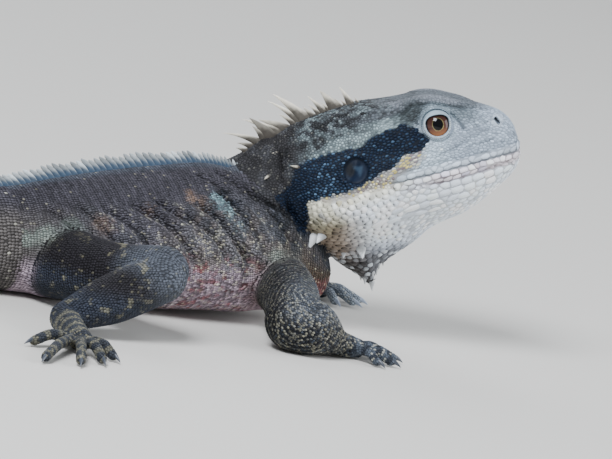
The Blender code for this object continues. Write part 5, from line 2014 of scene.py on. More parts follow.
@dataclass
class ScaleLayer:
    """Lays the scales in rows over the skin and fills what the rows leave bare."""

    anatomy: Anatomy
    ground: Ground
    markings: Markings
    lids: LidShape
    seed: int = 11

    def sizes(self, points: Array, region: Array, turn: Array, place: Array) -> tuple[Array, Array, Array]:
        """Length, width and form of the scales at the points.

        Args:
            points: Places on the animal.
            region: What each belongs to.
            turn: How far each is round from the top, in radians.
            place: How far each is along its form.

        Returns:
            Lengths, widths and form numbers.
        """
        length = np.full(len(points), 1.15)
        width = np.full(len(points), 1.0)
        form = np.full(len(points), ScaleForm.GRANULE.value)
        local = to_head(points)
        s, y, t = local[:, 0], np.abs(local[:, 1]), local[:, 2]
        head = region == Region.HEAD.value
        off = t - mouth_line(s)
        over = t - smooth_values(*BROW_LEVEL, s)[:, 0]
        crown = head & (over > 0.3) & (s > 8)
        snout = head & (s > 43) & (off > 3.0)
        cheek = head & (s > 12) & (off > 2.6) & ~crown
        band = (region <= Region.TRUNK.value) & (self.band_share(points) > 0.4)
        labial = head & (np.abs(off) < 3.2) & (s > MOUTH_CORNER)
        jaw = head & (off < -3.2)
        jowl = head & (off < -0.5) & (s < MOUTH_CORNER + 3)
        trunk = region == Region.TRUNK.value
        low = np.degrees(turn) > 112
        tail = region == Region.TAIL.value
        along_tail = np.clip((place[tail] - self.anatomy.pelvis) / TAIL_LENGTH, 0, 1)
        kinds = (
            (head, 0.95, 0.9, ScaleForm.GRANULE),
            (cheek, 1.6, 0.74, ScaleForm.FLAT),
            (snout, 1.4, 0.82, ScaleForm.FLAT),
            (crown, 1.2, 1.0, ScaleForm.FLAT),
            (labial, 3.1, 1.9, ScaleForm.PLATE),
            (jaw, 2.6, 1.7, ScaleForm.FLAT),
            (jowl, 2.6, 2.1, ScaleForm.DOTTED),
            (region == Region.NECK.value, 1.0, 0.9, ScaleForm.GRANULE),
            (trunk, 1.12, 0.86, ScaleForm.KEELED),
            (trunk & low, 1.5, 1.2, ScaleForm.KEELED),
            (region == Region.ARM.value, 1.02, 0.86, ScaleForm.KEELED),
            (region == Region.HAND.value, 1.1, 0.95, ScaleForm.PLATE),
            (region == Region.LEG.value, 1.25, 1.02, ScaleForm.KEELED),
            (region == Region.FOOT.value, 1.15, 1.0, ScaleForm.PLATE),
            (tail, 2.3, 1.6, ScaleForm.KEELED),
        )
        for mask, along, across, kind in kinds:
            length[mask] = along
            width[mask] = across
            form[mask] = kind.value
        for side in (1, -1):
            eye = EyeSite(side).local(points)
            near = head & (eye[:, 2] > -6)
            share = 0.55 + 0.45 * ramp(6.0, 13.0, np.hypot(eye[near, 0], eye[near, 1]))
            length[near] = length[near] * share
            width[near] = width[near] * (0.25 + 0.75 * share)
        length[band] = 1.25 + 0.25 * ramp(4.0, 14.0, s[band])
        width[band] = 0.85
        form[band] = ScaleForm.GRANULE.value
        swell = np.sin(np.clip(along_tail * 1.25, 0, 1) * math.pi)
        length[tail] = 1.5 + 1.6 * swell
        width[tail] = 1.15 + 0.75 * swell
        return length, width, form

    def lattice(self, tube: Tube, chart: int, draw: np.random.Generator) -> Sites:
        """Rows of sites round a form, each row offset by half a scale.

        Args:
            tube: The form.
            chart: Its number in the unwrap.
            draw: Random numbers for small irregularities.

        Returns:
            The sites, on the form's own surface.
        """
        around = np.linspace(0, 2 * math.pi, READINGS + 1)
        middle = 0.5 * (around[1:] + around[:-1])
        place = tube.start + 0.4
        rows_place, rows_turn = [], []
        while place < tube.end - 0.3:
            ring = tube.surface(np.full(READINGS + 1, place), around, -SKIN_DEPTH)
            centre = 0.5 * (ring[1:] + ring[:-1])
            step = np.linalg.norm(np.diff(ring, axis=0), axis=1)
            here = np.full(READINGS, place)
            length, width, _ = self.sizes(centre, self.anatomy.region_of(tube, here), from_top(middle), here)
            count = np.concatenate([[0.0], np.cumsum(step / width)])
            number = max(4, int(round(count[-1])))
            wanted = (np.arange(number) + 0.5 * (len(rows_turn) % 2)) * count[-1] / number
            wanted = (wanted + draw.normal(0, UNEVENNESS, number)) % count[-1]
            rows_place.append(np.full(number, place) + draw.normal(0, UNEVENNESS, number))
            rows_turn.append(np.interp(wanted, count, around))
            place += float(np.average(length, weights=step)) * 0.86
        places = np.clip(np.concatenate(rows_place), tube.start, tube.end)
        turns = np.concatenate(rows_turn)
        points = tube.surface(places, turns, -SKIN_DEPTH)
        region = self.anatomy.region_of(tube, places)
        length, width, form = self.sizes(points, region, from_top(turns), places)
        size = np.stack([length, width], axis=1)
        charts, normals = np.full(len(points), chart), np.zeros_like(points)
        lie, turn = tube.lie(places, turns), from_top(turns)
        return Sites(points, lie, region, places, turn, size, form, charts, normals)

    def settle(self, sites: Sites, tree: BVHTree) -> Sites:
        """Moves sites onto the skin and drops those that lie inside another form.

        Args:
            sites: Where scales might grow.
            tree: The skin.

        Returns:
            The kept sites, with the skin's normals.
        """
        targets = self.ground.metres(sites.points)
        found = np.zeros((len(sites), 3))
        normals = np.zeros((len(sites), 3))
        kept = np.zeros(len(sites), bool)
        for index, target in enumerate(targets.tolist()):
            place, normal, _, distance = tree.find_nearest(target)
            if place is not None and distance < 2.2 * MM:
                found[index] = place
                normals[index] = normal
                kept[index] = True
        moved = sites.pick(kept)
        moved.points = self.ground.millimetres(found[kept])
        moved.normal = normals[kept]
        return moved

    @staticmethod
    def thin(points: Array, reach: Array, cell: float = 1.2) -> Array:
        """Drops every site that crowds an earlier one.

        Args:
            points: Places, the most wanted first.
            reach: The least distance for each.
            cell: Size of the boxes used for looking up neighbours.

        Returns:
            A mask of the sites that stay.
        """
        kept = np.zeros(len(points), bool)
        boxes: dict[tuple, list] = {}
        keys = np.floor(points / cell).astype(int).tolist()
        coordinates = points.tolist()
        around = [(i, j, k) for i in (-1, 0, 1) for j in (-1, 0, 1) for k in (-1, 0, 1)]
        limits = (np.minimum(reach, cell) ** 2).tolist()
        for index, (key, (x, y, z), limit) in enumerate(zip(keys, coordinates, limits)):
            crowded = False
            for i, j, k in around:
                for u, v, w in boxes.get((key[0] + i, key[1] + j, key[2] + k), ()):
                    if (u - x) ** 2 + (v - y) ** 2 + (w - z) ** 2 < limit:
                        crowded = True
                        break
                if crowded:
                    break
            if not crowded:
                kept[index] = True
                boxes.setdefault(tuple(key), []).append((x, y, z))
        return kept

    def scatter(self, mesh, draw: np.random.Generator, closeness: float) -> tuple[Array, Array]:
        """Random places on the skin, evenly thick.

        Args:
            mesh: The skin.
            draw: Random numbers.
            closeness: Area in square millimetres for each place.

        Returns:
            Places and the skin's normals there.
        """
        mesh.calc_loop_triangles()
        corners = np.zeros(len(mesh.loop_triangles) * 3, np.int64)
        mesh.loop_triangles.foreach_get("vertices", corners)
        corners = corners.reshape(-1, 3)
        points = self.ground.millimetres(read_points(mesh))
        first, second, third = (points[corners[:, order]] for order in range(3))
        cross = np.cross(second - first, third - first)
        area = np.linalg.norm(cross, axis=1) / 2
        count = int(area.sum() / closeness)
        chosen = np.searchsorted(np.cumsum(area) / area.sum(), draw.random(count))
        u, v = draw.random(count), draw.random(count)
        over = u + v > 1
        u[over], v[over] = 1 - u[over], 1 - v[over]
        across = u[:, None] * (second - first)[chosen] + v[:, None] * (third - first)[chosen]
        return first[chosen] + across, unit(cross[chosen])

    def fill(self, sites: Sites, guide: Sites, mesh, draw: np.random.Generator) -> Sites:
        """Finds sites for the skin that has no scales yet.

        Args:
            sites: The sites so far.
            guide: Sites whose sizes and lie the new ones take.
            mesh: The skin.
            draw: Random numbers.

        Returns:
            More sites.
        """
        some, normals = self.scatter(mesh, draw, 0.3)
        nearest, _ = self.nearest(guide.points, some)
        reach = 0.8 * np.sqrt(guide.size[nearest].prod(axis=1))
        _, distance = self.nearest(sites.points, some)
        bare = np.flatnonzero((some[:, 2] > 0.3) & (distance > reach))
        bare = bare[self.thin(some[bare], reach[bare], 3.2)]
        more = guide.pick(nearest[bare])
        offset = some[bare] - more.points
        more.place = more.place + (offset * unit(more.lie)).sum(axis=1)
        more.turn = np.clip(more.turn - offset[:, 2] / 12.0, 0.0, math.pi)
        more.points = some[bare]
        more.normal = normals[bare]
        return more

    @staticmethod
    def nearest(known: Array, wanted: Array) -> tuple[Array, Array]:
        """The nearest known point to each wanted one, and how far it is."""
        tree = point_tree(known)
        found = [tree.find(point)[1:] for point in wanted.tolist()]
        index, distance = zip(*found)
        return np.array(index), np.array(distance)

    @staticmethod
    def neighbours(points: Array, count: int) -> Array:
        """The nearest other points of each point, as rows of numbers."""
        tree = point_tree(points)
        found = [[item[1] for item in tree.find_n(point, count + 1)[1:]] for point in points.tolist()]
        return np.array(found)

    def spread(self, sites: Sites, fixed: int, tree: BVHTree, turns: int) -> Sites:
        """Pushes scattered sites apart until they lie as evenly as real scales.

        Args:
            sites: The sites, the fixed ones first.
            fixed: How many stay where they are.
            tree: The skin.
            turns: How many times they are pushed.

        Returns:
            The sites.
        """
        points = sites.points.copy()
        lie = unit(sites.lie)
        normals = np.zeros_like(points)
        for _ in range(turns):
            around = self.neighbours(points, 7)
            offset = points[:, None, :] - points[around]
            along = (offset * lie[:, None, :]).sum(axis=2)
            rest = offset - along[:, :, None] * lie[:, None, :]
            beside = (rest**2).sum(axis=2) / sites.size[:, 1:] ** 2
            scaled = np.sqrt((along / sites.size[:, :1]) ** 2 + beside)
            push = np.clip(1.08 - scaled, 0, 1)[:, :, None] * offset / (scaled[:, :, None] + 1e-6)
            move = 0.22 * push.sum(axis=1)
            move[:fixed] = 0.0
            points = points + move
            for index, target in enumerate(self.ground.metres(points).tolist()):
                place, normal, _, _ = tree.find_nearest(target)
                points[index] = np.array(place) / MM - self.ground.shift
                normals[index] = normal
        sites.points = points
        sites.normal = normals
        return sites

    @staticmethod
    def outlines(sites: Sites, lie: Array, beside: Array, around: Array) -> Array:
        """How far each scale reaches in even directions before it meets its neighbours.

        Args:
            sites: The scales.
            lie: Their long directions.
            beside: Their cross directions.
            around: The numbers of each one's neighbours.

        Returns:
            Reaches as shares of the scale's length and width.
        """
        offset = sites.points[around] - sites.points[:, None, :]
        flat_x = (offset * lie[:, None, :]).sum(axis=2) / sites.size[:, :1]
        flat_y = (offset * beside[:, None, :]).sum(axis=2) / sites.size[:, 1:]
        mine = sites.size.prod(axis=1)[:, None]
        share = np.sqrt(mine) / (np.sqrt(mine) + np.sqrt(sites.size[around].prod(axis=2)))
        distance = flat_x**2 + flat_y**2
        turns = even_turns(CELL_SIDES)
        facing = flat_x[:, :, None] * np.cos(turns) + flat_y[:, :, None] * np.sin(turns)
        reach = share[:, :, None] * distance[:, :, None] / np.maximum(facing, 1e-3)
        return np.clip(reach.min(axis=1), 0.22, 0.74)

    def allowed(self, sites: Sites) -> Array:
        """Keeps scales out of the eyes, the mouth, the nostrils and the ear drums."""
        local = to_head(sites.points)
        s, y, t = local[:, 0], np.abs(local[:, 1]), local[:, 2]
        front = sites.among(Region.HEAD, Region.NECK)
        free = np.ones(len(sites), bool)
        for side in (1, -1):
            eye = EyeSite(side).local(sites.points)
            free &= ~((np.hypot(eye[:, 0], eye[:, 1]) < self.lids.outer - 0.5) & (eye[:, 2] > -3))
        free &= ~(front & (np.abs(t - mouth_line(s)) < 0.4) & (s > MOUTH_CORNER))
        nostril = np.hypot(s - NOSTRIL[0], t - NOSTRIL[2])
        free &= ~(front & (nostril < 1.9) & (y > 2.5) & (s > 48))
        drum = np.hypot(s - EAR_DRUM[0], t - EAR_DRUM[2])
        free &= ~(front & (drum < EAR_DRUM_RADIUS - 0.2) & (y > 12))
        free &= sites.points[:, 2] > 0.25
        return free

    def jaw_rows(self) -> Sites:
        """Rows of large plates: labials along both lips and long plates low on the jaw."""
        points, lie, size, places, angles = [], [], [], [], []
        front = self.anatomy.front
        half_ring = np.linspace(-math.pi / 2, math.pi / 2, 121)
        for rise, first, last, length, width in JAW_ROWS:
            s = first
            while s > last:
                place = self.anatomy.place_in_head(s)
                ring = to_head(front.surface(np.full(len(half_ring), place), half_ring, -SKIN_DEPTH))
                t = mouth_line(s) + rise + 0.14 * math.sin(2.3 * s + 3.0 * rise)
                y = float(np.interp(t, ring[:, 2], ring[:, 1]))
                slope = 1.0 if s < 50 else 0.75
                for side in (1, -1):
                    points.append(from_head([s, y * side, t]))
                    places.append(place)
                    angles.append(math.pi / 2 - float(np.interp(t, ring[:, 2], half_ring)))
                    lie.append(unit(from_head([-1.0, 0.12 * side, -0.05]) - from_head([0, 0, 0])))
                    size.append((length, width * (1 + 0.14 * math.sin(5.1 * s + 2.0 * rise))))
                s -= length * (0.96 + 0.18 * math.sin(3.7 * s + 5.0 * rise)) * slope
        count = len(points)
        return Sites(
            np.array(points),
            np.array(lie),
            np.full(count, Region.HEAD.value),
            np.array(places),
            np.array(angles),
            np.array(size),
            np.full(count, ScaleForm.PLATE.value),
            np.zeros(count, int),
            np.zeros((count, 3)),
        )

    def build(self, skin_mesh, skin_object) -> None:
        """Grows every scale.

        Args:
            skin_mesh: The finished skin.
            skin_object: The object that holds it.
        """
        draw = np.random.default_rng(self.seed)
        tree = BVHTree.FromObject(skin_object, bpy.context.evaluated_depsgraph_get())
        special = self.settle(self.jaw_rows(), tree)
        parts = [self.lattice(tube, chart, draw) for chart, tube in enumerate(self.anatomy.tubes())]
        guide = self.settle(Sites.join(parts), tree)
        LOG.info("scales: %d sites in rows", len(guide))
        rows = guide.pick(self.allowed(guide) & ~self.irregular(guide))
        rows = rows.pick(self.thin(rows.points, 0.66 * rows.size.mean(axis=1), 2.6))
        more = self.fill(Sites.join([special, rows]), guide, skin_mesh, draw)
        more = more.pick(self.allowed(more) & ~self.near_special(more, special))
        LOG.info("scales: %d kept in rows and %d scattered", len(rows), len(more))
        loose = more.among(Region.HEAD, Region.NECK) | (self.band_share(more.points) > 0.3)
        head = self.spread(Sites.join([special, more.pick(loose)]), len(special), tree, 5)
        head = head.pick(self.allowed(head))
        self.coat(Sites.join([head, rows, more.pick(~loose), self.lid_beads()]), draw)

    def irregular(self, sites: Sites) -> Array:
        """Says which sites lie on head, neck and band, where scales don't grow in rows."""
        band = sites.among(Region.TRUNK) & (self.band_share(sites.points) > 0.3)
        return sites.among(Region.HEAD, Region.NECK) | band

    @staticmethod
    def band_share(points: Array) -> Array:
        """How far points lie inside the dark band of the head's side."""
        local = to_head(points)
        return polygon_share(local[:, [0, 2]], BAND_OUTLINE, 0.4) * (np.abs(local[:, 1]) > 8)

    @staticmethod
    def near_special(sites: Sites, special: Sites) -> Array:
        """Says which sites lie under the large plates of the jaws."""
        crowd = np.zeros(len(sites), bool)
        for point, way, (length, width) in zip(special.points, special.lie, special.size):
            offset = sites.points - point
            along = offset @ way
            beside = np.sqrt(np.maximum((offset**2).sum(axis=1) - along**2, 0))
            crowd |= (np.abs(along) < 0.52 * length) & (beside < 0.55 * width)
        return crowd

    def lid_beads(self) -> Sites:
        """Rings of tiny beads over the lids."""
        points, lie, normals, size, flat = [], [], [], [], []
        for side in (1, -1):
            eye = EyeSite(side)
            surface = LidSurface(eye, self.lids)
            for ring, share in enumerate(np.linspace(0.14, 1.0, 5)):
                radius = self.lids.opening(np.zeros(1))[0] * (1 - share) + self.lids.outer * share
                count = int(2 * math.pi * radius / 0.7)
                turns = (np.arange(count) + 0.5 * (ring % 2)) * 2 * math.pi / count
                turns = turns[(np.sin(turns) < 0.05 + 0.25 * share) | (share > 0.9)]
                count = len(turns)
                here = surface.at(turns, np.full(count, share))
                ahead = surface.at(turns + 0.05, np.full(count, share))
                out = surface.at(turns, np.full(count, min(share + 0.04, 1.0)))
                tangent = unit(ahead - here)
                normal = unit(np.cross(tangent, out - here))
                normal = np.where((normal @ eye.out)[:, None] < 0, -normal, normal)
                points.append(here)
                lie.append(tangent)
                normals.append(normal)
                bead = 0.55 + 0.25 * share
                size.append(np.tile([bead, bead * 0.9], (count, 1)))
                flat.append(np.column_stack([turns % (2 * math.pi), np.full(count, math.pi * share)]))
        count = sum(len(some) for some in points)
        return Sites(
            np.vstack(points),
            np.vstack(lie),
            np.full(count, Region.HEAD.value),
            *np.vstack(flat).T,
            np.vstack(size),
            np.full(count, ScaleForm.GRANULE.value),
            np.full(count, LID_CHART),
            np.vstack(normals),
        )

    def coat(self, sites: Sites, draw: np.random.Generator) -> None:
        """Makes the joined meshes of the scales, one for each part of the animal.

        Args:
            sites: Where each scale grows.
            draw: Random numbers for the colours.
        """
        colour, polish = self.markings.colours(sites, draw, 0.16)
        colour = self.soften_borders(sites, colour)
        material = ScaleHorn().build()
        right = sites.points[:, 1] < np.interp(sites.points[:, 0], [-139, -66, 40], [-61, -19.5, 0])
        head, trunk = sites.among(Region.HEAD), sites.among(Region.TRUNK)
        arm, leg = sites.among(Region.ARM, Region.HAND), sites.among(Region.LEG, Region.FOOT)
        groups = {
            "scales_head_right": head & right,
            "scales_head_left": head & ~right,
            "scales_neck": sites.among(Region.NECK),
            "scales_trunk_right": trunk & right,
            "scales_trunk_left": trunk & ~right,
            "scales_tail": sites.among(Region.TAIL),
            "scales_arm_right": arm & right,
            "scales_arm_left": arm & ~right,
            "scales_leg_right": leg & right,
            "scales_leg_left": leg & ~right,
        }
        for name, chosen in groups.items():
            mesh = self.joined(name, sites.pick(chosen), colour[chosen], polish[chosen])
            put(name, mesh, material)

    def soften_borders(self, sites: Sites, colour: Array) -> Array:
        """Blends the colours where limbs and neck leave the trunk, as the hide there has no border.

        Args:
            sites: The scales.
            colour: Their colours.

        Returns:
            The colours, blended near the borders.
        """
        area = np.select([sites.region >= Region.LEG.value, sites.region >= Region.ARM.value], [2, 1], 0)
        joins = np.array([(-40, -24, 20), (-46, 14, 21), (-118, -66, 17), (-145, -42, 17)], float)
        gap = np.linalg.norm(sites.points[:, None, :] - joins[None, :, :], axis=2).min(axis=1)
        near = np.flatnonzero(gap < 30)
        around = self.neighbours(sites.points[near], 12)
        mixed = (area[near][around] != area[near][:, None]).mean(axis=1)
        reach = ramp(0.0, 0.25, mixed)
        for _ in range(6):
            reach = np.maximum(reach, 0.93 * reach[around].mean(axis=1))
        blended = colour[near]
        for _ in range(4):
            blended = mix(blended, blended[around].mean(axis=1), 0.9 * reach)
        grain = colour[near].mean(axis=1) / np.maximum(colour[near][around].mean(axis=(1, 2)), 1e-4)
        colour[near] = np.clip(blended * np.clip(grain, 0.7, 1.5)[:, None] ** reach[:, None], 0, 1)
        return colour

    def joined(self, name: str, sites: Sites, colour: Array, polish: Array):
        """One mesh of many scales with its colours and its unwrapped roots.

        Args:
            name: The mesh's name.
            sites: Where each scale grows.
            colour: Each scale's colour.
            polish: Each scale's polish.

        Returns:
            The mesh.
        """
        normals = sites.normal
        lie = unit(sites.lie - normals * (sites.lie * normals).sum(axis=1, keepdims=True))
        beside = np.cross(normals, lie)
        roots = self.unwrap(sites)
        fitted = self.outlines(sites, lie, beside, self.neighbours(sites.points, 8))
        all_points, all_faces, all_colour, all_polish, all_uv = [], [], [], [], []
        base = 0
        for kind, profile in PROFILES.items():
            chosen = sites.form == kind.value
            if not chosen.any():
                continue
            size = sites.size[chosen]
            raised = kind in (ScaleForm.GRANULE, ScaleForm.KEELED)
            height = 0.34 * size.mean(axis=1) if raised else 0.1 + 0.07 * size.mean(axis=1)
            shape = profile.points
            if kind is ScaleForm.KEELED:
                spread = np.full((len(size), len(shape)), 1.06)
            else:
                spread = np.tile(fitted[chosen], 3)[:, : len(shape)] * 0.97
            points = (
                sites.points[chosen][:, None, :]
                + (shape[None, :, 0] * size[:, :1] * spread)[..., None] * lie[chosen][:, None, :]
                + (shape[None, :, 1] * size[:, 1:] * spread)[..., None] * beside[chosen][:, None, :]
                + (shape[None, :, 2] * height[:, None])[..., None] * normals[chosen][:, None, :]
            )
            count, number = points.shape[:2]
            starts = base + np.arange(count) * number
            # Each point's colour takes its profile's painted light and shade.
            tint = colour[chosen][:, None, :] * profile.shades[None, :, None]
            uv = roots[chosen][:, None, :] + shape[None, :, :2] * PATCH
            all_points.append(points.reshape(-1, 3))
            all_faces.append((profile.faces + starts[:, None, None]).reshape(-1, 3))
            all_colour.append(tint.reshape(-1, 3))
            all_polish.append(np.repeat(polish[chosen], number))
            all_uv.append(uv.reshape(-1, 2))
            base += count * number
        mesh = fast_mesh(name, self.ground.metres(pressed(np.vstack(all_points))), np.vstack(all_faces))
        write_markings(mesh, np.clip(np.vstack(all_colour), 0, 1), np.concatenate(all_polish))
        write_unwrap(mesh, np.clip(np.vstack(all_uv), 0.0, 1.0))
        return mesh

    @staticmethod
    def unwrap(sites: Sites) -> Array:
        """Where each scale's root lies on a flat unwrap with one strip for each form of the animal.

        Args:
            sites: The scales.

        Returns:
            Flat places from 0 to 1: along the form and round it from its top.
        """
        flat = np.zeros((len(sites), 2))
        charts = np.unique(sites.chart)
        for order, chart in enumerate(charts):
            here = sites.chart == chart
            place, across = sites.place[here], sites.points[here, 1]
            side = np.where(across > across.mean(), 1.0, -1.0)
            around = 0.5 + side * sites.turn[here] / (2 * math.pi)
            flat[here, 0] = (place - place.min()) / max(np.ptp(place), 1.0)
            flat[here, 1] = (order + 0.02 + 0.96 * around) / len(charts)
        return 0.004 + 0.992 * np.clip(flat, 0, 1)


class LidSurface:
    """The lids of one eye: a smooth collar from the edge of the opening out to the skin."""

    def __init__(self, eye: EyeSite, shape: LidShape) -> None:
        """Keeps the eye's frame and the lids' sizes."""
        self.eye = eye
        self.shape = shape

    def at(self, turns: Array, shares: Array) -> Array:
        """Points of the lids: share 0 is the edge of the opening, 1 the outer crease."""
        opening = self.shape.opening(turns)
        outer = self.shape.outer
        reach = opening * (1 - shares) + outer * shares
        ball = np.sqrt(np.maximum((EYE_RADIUS + 0.1) ** 2 - opening**2, 0.0))
        hug = np.sqrt(np.maximum((EYE_RADIUS + 0.55) ** 2 - reach**2, 0.0))
        hood = 1 + 1.2 * ramp(0.1, 0.6, np.sin(turns))
        edge = ball + self.shape.edge * hood * ramp(-0.05, 0.1, shares)
        over = edge * (1 - ramp(0.05, 0.3, shares)) + hug * ramp(0.05, 0.3, shares)
        blend = ramp(0.35, 1.0, shares)
        height = over * (1 - blend) + self.rest_height(turns) * blend
        height = height + self.shape.bulge * np.sin(np.clip(shares, 0, 1) * math.pi) ** 1.5
        groove = bell(shares - 0.86, 0.11)
        upper = ramp(-0.35, 0.3, np.sin(turns))
        height = height - self.shape.crease * groove * upper
        local = np.stack([reach * np.cos(turns), reach * np.sin(turns), height], axis=-1)
        return self.eye.world(local)

    def rest_height(self, turns: Array) -> Array:
        """How far out the skin round the lids lies, by turn."""
        heights = self.shape.rims[self.eye.side]
        known = np.arange(RIM_TURNS + 1) * 2 * math.pi / RIM_TURNS
        return np.interp(turns % (2 * math.pi), known, np.append(heights, heights[0]))

    def mesh_parts(self) -> tuple[Array, Array]:
        """Points and triangles of the lids, with an inner edge that touches the eyeball."""
        turns = even_turns(LID_SIDES)
        shares = np.concatenate([[-0.1, -0.03, 0.02, 0.06], np.linspace(0.1, 1.0, 22)])
        rings = [self.at(turns, np.full(LID_SIDES, share)) for share in shares]
        rings = [self.sunk(rings[0], 1.4), *rings, self.sunk(rings[-1], 1.6)]
        return np.vstack(rings), np.array(ring_faces(len(rings), LID_SIDES, endless=True))

    def sunk(self, ring: Array, depth: float) -> Array:
        """A ring of points moved into the eye's socket."""
        local = self.eye.local(ring)
        local[:, 2] -= depth
        return self.eye.world(local)


@dataclass
class Eyes:
    """The eyeballs, each with a cornea that stands out."""

    ground: Ground
    cornea_mm: float = 4.6
    cornea_rise_mm: float = 0.35

    def build(self) -> None:
        """Makes both eyeballs, which stand for the solids' eyes."""
        material = WetEye().build()
        for name, side in (("eyeball_left", 1), ("eyeball_right", -1)):
            eye = EyeSite(side)
            mesh = bpy.data.meshes.new(name)
            form = bmesh.new()
            bmesh.ops.create_uvsphere(form, u_segments=64, v_segments=40, radius=EYE_RADIUS * MM)
            for vertex in form.verts:
                reach = math.hypot(vertex.co.x, vertex.co.y) / MM
                if vertex.co.z > 0 and reach < self.cornea_mm:
                    vertex.co.z += self.cornea_rise_mm * MM * (1 - (reach / self.cornea_mm) ** 2)
            form.to_mesh(mesh)
            form.free()
            frame = standing([eye.forward * -side, eye.up, eye.out], self.ground.metres(eye.centre))
            piece = put(name, mesh, material, frame)
            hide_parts("eye_left" if side > 0 else "eye_right")


@dataclass
class Claws:
    """Hooked claws, one joined piece for each hand and foot."""

    anatomy: Anatomy
    ground: Ground
    length: float = 6.2
    radius: float = 1.25
    rings: int = 14
    sides: int = 12

    def build(self) -> None:
        """Makes the claws of every hand and foot."""
        horn = ClawHorn().build()
        pale = ClawHorn(name="pale_claw_keratin", dark="8d9bb4", light="c3cedd").build()
        for owner in DIGITS:
            material = pale if owner == "left_hand" else horn
            names = [name for name in self.anatomy.claws if name.startswith(owner)]
            points, faces = merged([self.claw(*self.anatomy.claws[name]) for name in names])
            mesh = fast_mesh(f"claws_{owner}", self.ground.metres(points), np.array(faces))
            piece = put(f"claws_{owner}", mesh, material)
            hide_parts(*names)

    def claw(self, tip: Array, way: Array) -> tuple[Array, list[tuple]]:
        """Points and triangles of one claw that curves down to the floor."""
        side = np.cross([0.0, 0.0, 1.0], way)
        turns = even_turns(self.sides)
        rings = []
        for share in np.linspace(0, 1, self.rings):
            radius = self.radius * (1 - share) ** 0.75 + 0.06
            height = tip[2] + 1.9 * share - 3.2 * share**2
            centre = tip + way * (share * (self.length - 1.0) - 1.0)
            centre = np.array([centre[0], centre[1], max(height, 0.25)])
            across = np.outer(np.cos(turns) * 0.8, side) + np.outer(np.sin(turns) * 1.1, [0, 0, 1])
            rings.append(centre + radius * across)
        return pressed(np.vstack(rings)), ring_faces(self.rings, self.sides)


class Spine(NamedTuple):
    """One spine: where it grows, its directions, sizes and how pale it is."""

    root: Array
    up: Array
    back: Array
    length: float
    width: float
    thickness: float
    curve: float
    pale: float
    taper: float = 1.0


# Long spines of the nape: s or place along the neck, height, width, backward lean and paleness
NAPE_SPINES = [
    (4.6, 2.4, 1.2, 0.3, 0.6),
    (2.0, 8.0, 2.7, 0.3, 0.95),
    (0.2, 3.0, 1.4, 0.5, 0.7),
    (-1.6, 3.8, 1.6, 0.45, 0.5),
    (-3.8, 8.8, 4.6, 0.38, 0.6),
    (-6.2, 4.0, 1.6, 0.5, 0.8),
    (-8.2, 8.4, 2.5, 0.42, 0.9),
    (-10.0, 5.2, 2.0, 0.5, 0.8),
    (-12.6, 4.6, 2.4, 0.5, 0.6),
    (-15.6, 14.2, 4.6, 0.5, 0.9),
    (-17.6, 12.6, 3.0, 0.62, 1.0),
    (-19.8, 6.0, 2.4, 0.6, 0.6),
]
NECK_SPINES = [
    (2.6, 9.0, 4.4, 0.7, 0.45),
    (5.0, 12.6, 4.0, 0.74, 0.8),
    (7.8, 10.4, 5.6, 0.66, 0.15),
    (10.8, 6.0, 3.4, 0.7, 0.3),
    (13.6, 11.0, 3.2, 0.95, 0.75),
    (16.2, 5.0, 2.6, 0.8, 0.25),
    (18.6, 3.6, 2.2, 0.8, 0.2),
]
# White cones of the jaw's hind corner: s, t, length, width, direction (back, out, down), paleness, root depth
CHEEK_CONES = [
    (-19.0, -23.2, 10.6, 3.6, (-0.56, 0.74, -0.42), 0.5, -1.0),
    (-15.8, -22.6, 4.4, 3.9, (-0.7, 0.5, -0.5), 1.0, 0.7),
    (-3.0, -30.6, 4.8, 4.4, (-0.12, 0.5, -0.86), 1.0, 0.7),
    (-9.6, -31.6, 2.6, 2.4, (-0.3, 0.6, -0.7), 0.8, 0.7),
]
# Small pale thorns under the pouch: s, turn from its lowest line in radians, length and paleness
POUCH_THORNS = [
    (-5.6, 0.1, 2.0, 0.5), (-4.2, -0.2, 2.4, 0.6), (-3.0, 0.22, 2.6, 0.55), (-2.0, -0.05, 3.4, 0.75),
    (-0.8, -0.3, 2.4, 0.6), (0.4, 0.15, 2.8, 0.6), (1.8, -0.18, 2.2, 0.55), (3.4, 0.1, 2.0, 0.5),
]
# Small thorns of the neck: place along it, degrees down from its top, length and width
NECK_THORNS = [(98.0, 60, 2.6, 1.8), (83.0, 62, 3.0, 2.0), (91.0, 38, 2.2, 1.6)]


